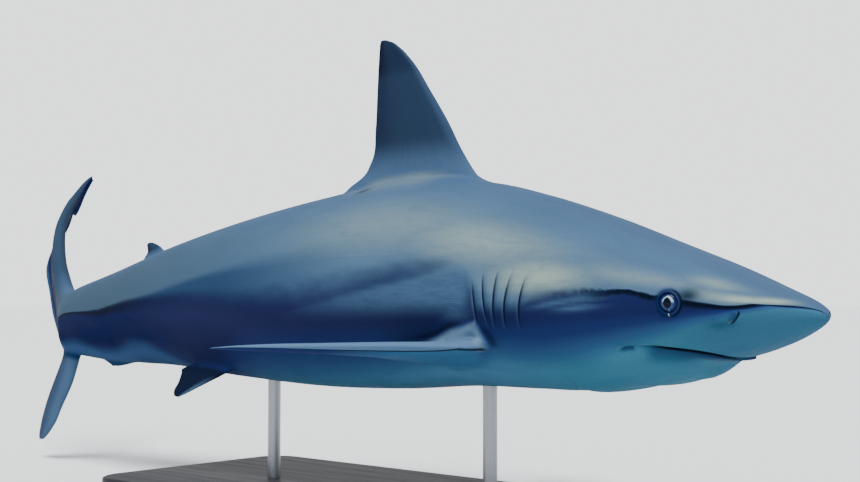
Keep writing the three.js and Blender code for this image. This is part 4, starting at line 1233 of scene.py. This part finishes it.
def fine_grain_group():
    """Speckle and pitting that every surface of the model has at its own scale."""
    tree = bpy.data.node_groups.new("fine_grain", "ShaderNodeTree")
    face = tree.interface
    face.new_socket(name="Place", in_out="INPUT", socket_type="NodeSocketVector")
    face.new_socket(name="Scale", in_out="INPUT", socket_type="NodeSocketFloat")
    face.new_socket(name="Speckle", in_out="OUTPUT", socket_type="NodeSocketFloat")
    face.new_socket(name="Pitting", in_out="OUTPUT", socket_type="NodeSocketFloat")
    recipe = Recipe(tree)
    entry = recipe.add("NodeGroupInput")
    leave = recipe.add("NodeGroupOutput")
    coarse = recipe.noise(entry.outputs["Place"], entry.outputs["Scale"], 3.0, 0.6)
    finer = recipe.times(entry.outputs["Scale"], 3.1)
    fine = recipe.noise(entry.outputs["Place"], finer, 2.0, 0.5)
    recipe.feed(leave.inputs["Speckle"], recipe.ease(coarse, 0.3, 0.7))
    recipe.feed(leave.inputs["Pitting"], recipe.times(coarse, fine))
    return tree


def add_grain(recipe, place_on, scale):
    """Places the shared grain in a material. Returns its speckle and its pitting."""
    node = recipe.add("ShaderNodeGroup", node_tree=fine_grain)
    recipe.feed(node.inputs["Place"], place_on)
    recipe.feed(node.inputs["Scale"], scale)
    return node.outputs["Speckle"], node.outputs["Pitting"]


BACK_PALE, BACK_DULL, BACK_TOP = paint(56, 81, 107), paint(48, 66, 83), paint(52, 75, 104)
FLANK_NAVY, EDGE_LINE_AND_SHADE_DARK, FLANK_BLUE = paint(20, 25, 62), paint(4, 9, 24), paint(24, 36, 78)
BELLY_BLUE, BELLY_TEAL, THROAT_TEAL = paint(34, 62, 99), paint(66, 112, 142), paint(48, 96, 117)
SHOULDER_HIGHLIGHT, TAIL_TEAL, TAIL_DULL = paint(80, 108, 132), paint(8, 40, 70), paint(34, 50, 69)
SHADE_BLUE, STREAK_PALE, HIGHLIGHT_PALE = paint(18, 42, 70), paint(56, 83, 110), paint(125, 141, 128)
SHADOW_AND_SPECKLE_DARK, SHADE_AND_LID_NAVY, LIP_HIGHLIGHT = paint(4, 8, 16), paint(12, 26, 62), paint(92, 112, 116)
SNOUT_TEAL, TAIL_NAVY, UNDER_TEAL = paint(43, 83, 106), paint(6, 15, 54), paint(46, 86, 120)
FIN_BLUE, FIN_SLATE, FIN_PALE = paint(44, 62, 86), paint(9, 17, 36), paint(74, 102, 134)
EYE_FLECK = (7.2, 0, -0.43)      # a pale fleck just under each eye, on both sides
EYE_FLECK_SCALE = (22, 0, 10)
LATERAL_LINE = 0.385             # how far round the side it runs, of half a round


class SkinFields:
    """What the skin's points know of themselves and the skin's patterns, as sockets."""

    def __init__(self, recipe):
        self.place = recipe.attribute("body_place")
        self.s, _, _ = recipe.parts(self.place)
        self.above, self.below, self.turn = recipe.parts(recipe.attribute("bands"))
        self.shade, self.streak, self.glow = recipe.parts(recipe.attribute("patches"))
        self.shoulder, self.wrinkled, self.painted_shade = recipe.parts(recipe.attribute("shading_and_wrinkles"))
        self.facing, self.span, self.on_fin = recipe.parts(recipe.attribute("fin_place"))
        self.pale_fin, self.dark_fin, self.pectoral = recipe.parts(recipe.attribute("fin_tint"))
        self.dark_fold, self.dim_fold, self.fold_highlight = recipe.parts(recipe.attribute("folds"))
        drawn_out = recipe.stretched(self.place, (0.35, 1, 1))
        self.wobble = recipe.minus(recipe.noise(drawn_out, 0.9, 3.0, 0.6), 0.5)
        self.ragged = recipe.minus(recipe.noise(self.place, 2.6, 3.0, 0.6), 0.5)
        self.mottle = recipe.noise(drawn_out, 0.55, 4.0, 0.55, 0.6)
        fine_place = recipe.stretched(self.place, (0.5, 1.6, 2.4))
        self.wisps = recipe.noise(fine_place, 1.1, 4.0, 0.6, 0.8)
        self.speckle, self.pitting = add_grain(recipe, self.place, 9.0)
        ray_place = recipe.joined(recipe.times(self.facing, 60.0), self.span, 0.0)
        self.rays = recipe.noise(ray_place, 1.0, 2.0)
        pores = recipe.add("ShaderNodeTexVoronoi")
        recipe.feed(pores.inputs["Vector"], self.place)
        pores.inputs["Scale"].default_value = 2.6
        pore = recipe.ease(pores.outputs["Distance"], 0.16, 0.07)
        self.pore = recipe.times(pore, recipe.ease(self.s, 7.0, 5.5), recipe.ease(self.turn, 0.38, 0.5))


def back_paint(recipe, field):
    back = recipe.blend(recipe.ease(field.s, 30, 68), BACK_PALE, BACK_DULL)
    # The top of the back a little darker: painted shade, as the light falls more from the front than from
    # above.
    back = recipe.blend(recipe.ease(field.turn, 0.27, 0.08, 0, 0.8), back, BACK_TOP)
    back = recipe.blend(recipe.ease(field.mottle, 0.35, 0.7, 0, 0.22), back, BACK_DULL)
    # The painted highlights on the back, broken up by the wisps.
    glow = recipe.times(field.glow, recipe.ease(field.wisps, 0.25, 0.6, 0.7, 1))
    back = recipe.blend(glow, back, HIGHLIGHT_PALE)
    back = recipe.blend(recipe.times(field.shade, 0.85), back, SHADE_BLUE)
    return recipe.blend(recipe.ease(field.s, 76, 80), back, TAIL_DULL)


def flank_paint(recipe, field):
    flank = recipe.blend(recipe.ease(field.below, -2.6, -0.6), FLANK_NAVY, FLANK_BLUE)
    flank = recipe.blend(recipe.ease(field.s, 50, 62), flank, TAIL_NAVY)
    # Painted light: the flank's pale streak and the pale gill flaps.
    streaked = recipe.times(field.streak, recipe.ease(field.wisps, 0.25, 0.62, 0.72, 1))
    return recipe.blend(streaked, flank, STREAK_PALE)


def belly_paint(recipe, field):
    # The teal is partly painted light thrown up onto the belly from below.
    teal = recipe.blend(recipe.ease(field.s, 13, 24), THROAT_TEAL, BELLY_TEAL)
    teal = recipe.blend(recipe.ease(field.s, 9, 4.5), teal, SNOUT_TEAL)
    teal = recipe.blend(recipe.ease(field.s, 46, 55), teal, TAIL_TEAL)
    belly = recipe.blend(recipe.ease(field.below, 0.3, 3.6), BELLY_BLUE, teal)
    return recipe.blend(recipe.ease(field.mottle, 0.4, 0.75, 0, 0.22), belly, BELLY_BLUE)


def body_paint(recipe, field):
    """Back, flank and belly, with the dark line along the pale back's edge."""
    down = recipe.ease(recipe.plus(field.below, recipe.times(field.wobble, 0.6)), -1, 1)
    colour = recipe.blend(down, flank_paint(recipe, field), belly_paint(recipe, field))
    frayed = recipe.times(field.ragged, recipe.ease(field.s, 16, 12), 2.2)
    tear = recipe.plus(recipe.times(field.wobble, 0.9), frayed)
    lifted = recipe.plus(field.above, recipe.times(tear, recipe.ease(field.s, 6.5, 8.5)))
    colour = recipe.blend(recipe.ease(lifted, -1, 1), colour, back_paint(recipe, field))

    # the line is strongest on the snout, behind the eye and before the tail
    line = recipe.times(recipe.ease(lifted, -3.8, -1.4), recipe.ease(lifted, 0.9, -0.3))
    strong = recipe.larger(recipe.ease(field.s, 15, 10), recipe.ease(field.s, 56, 66, 0.2, 0.8))
    strong = recipe.times(strong, recipe.ease(field.s, 74, 78, 1, 0))
    colour = recipe.blend(recipe.times(line, strong), colour, EDGE_LINE_AND_SHADE_DARK)
    # The painted shade of the spots and along the shoulder.
    colour = recipe.blend(recipe.times(field.painted_shade, 0.9), colour, EDGE_LINE_AND_SHADE_DARK)
    # The painted highlight on the shoulder over the pectoral fin's root.
    return recipe.blend(recipe.times(field.shoulder, 0.9), colour, SHOULDER_HIGHLIGHT)


def with_fins(recipe, field, colour):
    """Lays the fins' paint over the body's."""
    fin = recipe.blend(field.dark_fin, FIN_BLUE, FIN_SLATE)
    fin = recipe.blend(recipe.times(field.pale_fin, 0.95), fin, FIN_PALE)
    rayed = recipe.times(recipe.ease(field.rays, 0.45, 0.7), recipe.ease(field.on_fin, 0.6, 1), 0.08)
    fin = recipe.blend(rayed, fin, FIN_SLATE)

    # the under side of the pectoral fin, whose pale leading edge, painted light, ends at a brink with a
    # painted shadow line
    brink = recipe.times(recipe.ease(field.span, 0.2, 0.55), recipe.ease(field.span, 1, 0.62), 0.105)
    brink = recipe.larger(brink, recipe.ease(field.span, 0.4, 0.2, 0, 0.02))
    past_brink = recipe.minus(field.facing, brink)
    under = recipe.times(recipe.ease(past_brink, -0.004, 0.012), field.pectoral)
    under_paint = recipe.blend(recipe.ease(field.span, 0.4, 0.75), UNDER_TEAL, FLANK_BLUE)
    rearward = recipe.ease(field.facing, 0.5, 0.95, 0, 0.6)
    under_paint = recipe.blend(rearward, under_paint, BELLY_BLUE)
    fin = recipe.blend(under, fin, under_paint)
    colour = recipe.blend(recipe.ease(field.on_fin, 0.15, 0.95), colour, fin)
    brink_width = recipe.plus(recipe.times(brink, 0.16), 0.008)
    from_brink = recipe.divided(recipe.math("ABSOLUTE", past_brink), brink_width)
    close = recipe.ease(from_brink, 1.4, 0.4)
    brink_shadow = recipe.times(close, field.pectoral, recipe.ease(field.on_fin, 0, 0.12))
    # a painted shadow at the fin's free rear tip
    rear_edge = recipe.ease(field.facing, 0.95, 0.985)
    rear_tip_shadow = recipe.times(rear_edge, field.pectoral, recipe.ease(field.span, 0.6, 0.3))
    fin_shadow_lines = recipe.times(recipe.larger(brink_shadow, rear_tip_shadow), 0.9)
    return recipe.blend(fin_shadow_lines, colour, SHADOW_AND_SPECKLE_DARK)


def with_folds(recipe, field, colour):
    """Paints shade into the folds and highlights on their lips and rims, darkens the pores, speckles the
    skin and sets the fleck under the eye.
    """
    colour = recipe.blend(recipe.times(field.dim_fold, 0.75), colour, SHADE_AND_LID_NAVY)
    colour = recipe.blend(recipe.times(field.fold_highlight, 0.5), colour, LIP_HIGHLIGHT)
    colour = recipe.blend(recipe.ease(field.dark_fold, 0.1, 0.9), colour, SHADOW_AND_SPECKLE_DARK)
    colour = recipe.blend(recipe.times(field.pore, 0.3), colour, FLANK_NAVY)
    colour = recipe.blend(recipe.times(field.speckle, 0.08), colour, SHADOW_AND_SPECKLE_DARK)
    from_fleck = recipe.add("ShaderNodeVectorMath", operation="SUBTRACT")
    recipe.feed(from_fleck.inputs[0], field.place)
    recipe.feed(from_fleck.inputs[1], EYE_FLECK)
    distance = recipe.add("ShaderNodeVectorMath", operation="LENGTH")
    recipe.feed(distance.inputs[0], recipe.stretched(from_fleck.outputs[0], EYE_FLECK_SCALE))
    fleck = recipe.ease(distance.outputs["Value"], 1.2, 0.5, 0, 0.9)
    return recipe.blend(fleck, colour, HIGHLIGHT_PALE)


def skin_relief(recipe, field):
    """Grain, the fine lateral line, pores, the fins' rays and wrinkles."""
    lateral = recipe.math("ABSOLUTE", recipe.minus(field.turn, LATERAL_LINE))
    lateral = recipe.times(recipe.ease(lateral, 0.005, 0.0012), recipe.ease(field.s, 22, 26))
    height = recipe.minus(recipe.times(field.pitting, 0.5), recipe.times(lateral, 0.6))
    height = recipe.minus(height, recipe.times(field.pore, 0.8))
    height = recipe.plus(height, recipe.times(field.rays, field.on_fin, 0.35))
    surface = recipe.bump(height, 0.3, 0.0006)
    return recipe.bump(recipe.times(field.wisps, field.wrinkled), 0.25, 0.006, surface)


def skin_material():
    """Satin skin, pale above, navy along the flank and teal below. Beside the animal's own countershading
    these tones hold painted light: light from above on the back, painted shade along the flank and painted
    light thrown up onto the belly.
    """
    material, recipe, shader = new_material("satin shark skin")
    field = SkinFields(recipe)
    colour = with_fins(recipe, field, body_paint(recipe, field))
    recipe.feed(shader.inputs["Base Color"], with_folds(recipe, field, colour))
    recipe.feed(shader.inputs["Normal"], skin_relief(recipe, field))
    rough = recipe.ease(field.mottle, 0.3, 0.7, 0.48, 0.6)
    rough = recipe.plus(rough, recipe.ease(field.turn, 0.5, 0.7, 0, 0.2))
    recipe.feed(shader.inputs["Roughness"], rough)
    shader.inputs["Specular IOR Level"].default_value = 0.03
    shader.inputs["Specular Tint"].default_value = (0.45, 0.7, 1, 1)
    return material


IRIS_BLUE, IRIS_PALE_AND_HIGHLIGHT, IRIS_DARK = paint(26, 60, 112), paint(124, 152, 164), paint(8, 20, 60)
PUPIL_DARK, IRIS_GLINT = paint(2, 6, 24), paint(70, 104, 130)
GLINT_SPOT, GLINT_REACH = (1.5, -7.3), (0.8, 1.7)


def eye_material():
    material, recipe, shader = new_material("glossy blue eye")
    x, y, _ = recipe.parts(recipe.attribute("eye_place"))

    def squared(a):
        return recipe.times(a, a)

    radius = recipe.math("SQRT", recipe.plus(squared(x), squared(y)))
    across = recipe.math("ABSOLUTE", recipe.divided(x, PUPIL[0]))
    tall = squared(recipe.divided(y, PUPIL[1]))
    oval = recipe.math("SQRT", recipe.plus(squared(across), tall))
    pointed = recipe.plus(across, tall)
    slit = recipe.times(recipe.plus(oval, pointed), 0.5)
    nearer = recipe.plus(radius, 0.01)
    spoke = recipe.joined(recipe.divided(x, nearer), recipe.divided(y, nearer), recipe.times(radius, 0.06))
    fibres = recipe.noise(spoke, 7.0, 4.0, 0.65, 0.3)
    speckle, _ = add_grain(recipe, spoke, 14.0)
    iris = recipe.blend(recipe.ease(fibres, 0.3, 0.75), IRIS_DARK, IRIS_BLUE)
    iris = recipe.blend(recipe.ease(speckle, 0, 1, 0, 0.12), iris, IRIS_PALE_AND_HIGHLIGHT)
    iris = recipe.blend(recipe.ease(radius, IRIS_EDGE - 3.2, IRIS_EDGE - 1.4), iris, IRIS_DARK)
    # A painted highlight: a pale crescent round the pupil's upper side.
    outer = recipe.divided(slit, recipe.ease(x, -2, 2.5, 1.32, 1.62))
    crescent_highlight = recipe.times(recipe.ease(outer, 1.04, 0.92), recipe.ease(y, 0, 2.4))
    iris = recipe.blend(crescent_highlight, iris, IRIS_PALE_AND_HIGHLIGHT)
    # A painted glint: a small pale dash below the pupil.
    off_x = recipe.divided(recipe.minus(x, GLINT_SPOT[0]), GLINT_REACH[0])
    off_y = recipe.divided(recipe.minus(y, GLINT_SPOT[1]), GLINT_REACH[1])
    fleck = recipe.plus(squared(off_x), squared(off_y))
    iris = recipe.blend(recipe.ease(fleck, 1.3, 0.3, 0, 0.7), iris, IRIS_GLINT)
    colour = recipe.blend(recipe.ease(slit, 1.06, 0.95), iris, PUPIL_DARK)
    recipe.feed(shader.inputs["Base Color"], colour)
    recipe.feed(shader.inputs["Roughness"], recipe.ease(fibres, 0.3, 0.7, 0.25, 0.36))
    shader.inputs["Specular IOR Level"].default_value = 0.06
    shader.inputs["Coat Weight"].default_value = 0.12
    shader.inputs["Coat IOR"].default_value = 1.3
    shader.inputs["Coat Roughness"].default_value = 0.05
    return material


LACQUER_DARK, LACQUER_GREY, PORE_BLACK = paint(17, 19, 22), paint(30, 33, 37), paint(8, 9, 10)
STEEL_DARK, STEEL_PALE, STEEL_DULL = paint(118, 122, 129), paint(165, 169, 175), paint(120, 124, 130)
FLOOR_GREY, FLOOR_PALE = paint(214, 217, 220), paint(218, 221, 224)


def base_material():
    """Charcoal lacquer over open-grained wood."""
    material, recipe, shader = new_material("charcoal lacquered wood")
    spot = recipe.add("ShaderNodeTexCoord").outputs["Object"]
    _, y, _ = recipe.parts(spot)
    sway = recipe.noise(recipe.stretched(spot, (2.0, 6.0, 6.0)), 1.6, 3.0, 0.5)
    rings = recipe.plus(recipe.times(y, 34.0), recipe.times(sway, 5.0))
    rings = recipe.math("ABSOLUTE", recipe.math("SINE", rings))
    pores = recipe.noise(recipe.stretched(spot, (14.0, 420.0, 420.0)), 1.0, 3.0, 0.6)
    streaks = recipe.noise(recipe.stretched(spot, (3.0, 90.0, 90.0)), 1.0, 4.0, 0.6)
    speckle, pitting = add_grain(recipe, spot, 240.0)
    grain = recipe.times(recipe.ease(pores, 0.52, 0.72), recipe.ease(rings, 0.2, 0.9, 0.4, 1))
    colour = recipe.blend(recipe.ease(streaks, 0.3, 0.75), LACQUER_DARK, LACQUER_GREY)
    colour = recipe.blend(recipe.times(grain, 0.6), colour, PORE_BLACK)
    colour = recipe.blend(recipe.times(speckle, 0.08), colour, LACQUER_GREY)
    recipe.feed(shader.inputs["Base Color"], colour)
    recipe.feed(shader.inputs["Roughness"], recipe.ease(streaks, 0.3, 0.7, 0.42, 0.55))
    height = recipe.minus(recipe.times(pitting, 0.4), grain)
    recipe.feed(shader.inputs["Normal"], recipe.bump(height, 0.25, 0.0005))
    shader.inputs["Specular IOR Level"].default_value = 0.22
    shader.inputs["Coat Weight"].default_value = 0.04
    shader.inputs["Coat Roughness"].default_value = 0.2
    return material


def rod_material():
    """Steel brushed along the rod."""
    material, recipe, shader = new_material("brushed steel rod")
    spot = recipe.add("ShaderNodeTexCoord").outputs["Object"]
    scratches = recipe.noise(recipe.stretched(spot, (2600.0, 2600.0, 22.0)), 1.0, 3.0, 0.65)
    speckle, pitting = add_grain(recipe, spot, 300.0)
    colour = recipe.blend(scratches, STEEL_DARK, STEEL_PALE)
    colour = recipe.blend(recipe.times(speckle, 0.12), colour, STEEL_DULL)
    recipe.feed(shader.inputs["Base Color"], colour)
    shader.inputs["Metallic"].default_value = 1
    recipe.feed(shader.inputs["Roughness"], recipe.ease(scratches, 0.25, 0.75, 0.24, 0.42))
    height = recipe.plus(scratches, recipe.times(pitting, 0.3))
    recipe.feed(shader.inputs["Normal"], recipe.bump(height, 0.12, 0.0002))
    return material


def floor_material():
    material, recipe, shader = new_material("pale studio floor")
    spot = recipe.add("ShaderNodeTexCoord").outputs["Object"]
    speckle, _ = add_grain(recipe, spot, 60.0)
    recipe.feed(shader.inputs["Base Color"], recipe.blend(speckle, FLOOR_GREY, FLOOR_PALE))
    shader.inputs["Roughness"].default_value = 0.75
    return material


def dress(piece, material):
    piece.data.materials.clear()
    piece.data.materials.append(material)


fine_grain = fine_grain_group()


# ------------------------------------------------------------------ camera, light, floor

IMAGE_WIDTH = 860
FOCAL_PIXELS = 1300
SENSOR_WIDTH = 36
CAMERA_OFFSET = (32.22, -69.06, 0.902)      # from the snout, in body units
CAMERA_TURN = math.radians(42)
CAMERA_RISE = math.radians(2.59)
KEY_FROM = (0.35, -0.5, 1)
KEY_STRENGTH = 6.9
KEY_SPREAD = math.radians(30)
AIR_LIGHT = 0.85
AIR_SEEN = 2.0
FLOOR_HALF = 60


def add_camera(snout):
    lens = bpy.data.cameras.new("view")
    lens.sensor_width = SENSOR_WIDTH
    lens.lens = SENSOR_WIDTH * FOCAL_PIXELS / IMAGE_WIDTH
    camera = bpy.data.objects.new("view", lens)
    camera.location = Vector(snout) + Vector(CAMERA_OFFSET) * UNIT
    camera.rotation_euler = (math.pi / 2 + CAMERA_RISE, 0, CAMERA_TURN)
    bpy.context.scene.collection.objects.link(camera)
    bpy.context.scene.camera = camera


def add_key_light():
    """A broad soft light from above, a little to the front and the head."""
    lamp = bpy.data.lights.new("key_light", "SUN")
    lamp.energy = KEY_STRENGTH
    lamp.angle = KEY_SPREAD
    lamp.color = (1, 0.985, 0.96)
    thing = bpy.data.objects.new("key_light", lamp)
    thing.rotation_euler = (-Vector(KEY_FROM)).to_track_quat("-Z", "Y").to_euler()
    bpy.context.scene.collection.objects.link(thing)


def add_studio_air():
    """Even pale surroundings, which are seen brighter than they light the model."""
    world = bpy.data.worlds.new("studio")
    world.use_nodes = True
    recipe = Recipe(world.node_tree)
    seen = recipe.add("ShaderNodeLightPath").outputs["Is Camera Ray"]
    air = world.node_tree.nodes["Background"]
    air.inputs["Color"].default_value = (0.95, 0.97, 1, 1)
    recipe.feed(air.inputs["Strength"], recipe.ease(seen, 0, 1, AIR_LIGHT, AIR_SEEN))
    bpy.context.scene.world = world


skin = shark_skin()
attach(skin, "root")
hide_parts(*FLESH)
dress(skin, skin_material())

eye_gloss = eye_material()
for side, node in [(1, "eye_right"), (-1, "eye_left")]:
    ball = eyeball(node.replace("eye", "eyeball"), side)
    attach(ball, "root")
    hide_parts(node)
    dress(ball, eye_gloss)

dress(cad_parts["stand_base"], base_material())
rod_steel = rod_material()
for node in ("stand_rod_front", "stand_rod_rear"):
    dress(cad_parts[node], rod_steel)

add_camera(place([(0, 0, 0)])[0])
add_key_light()
add_studio_air()

bm = bmesh.new()
bmesh.ops.create_grid(bm, x_segments=8, y_segments=8, size=FLOOR_HALF)
floor = new_piece("floor", bm)
dress(floor, floor_material())
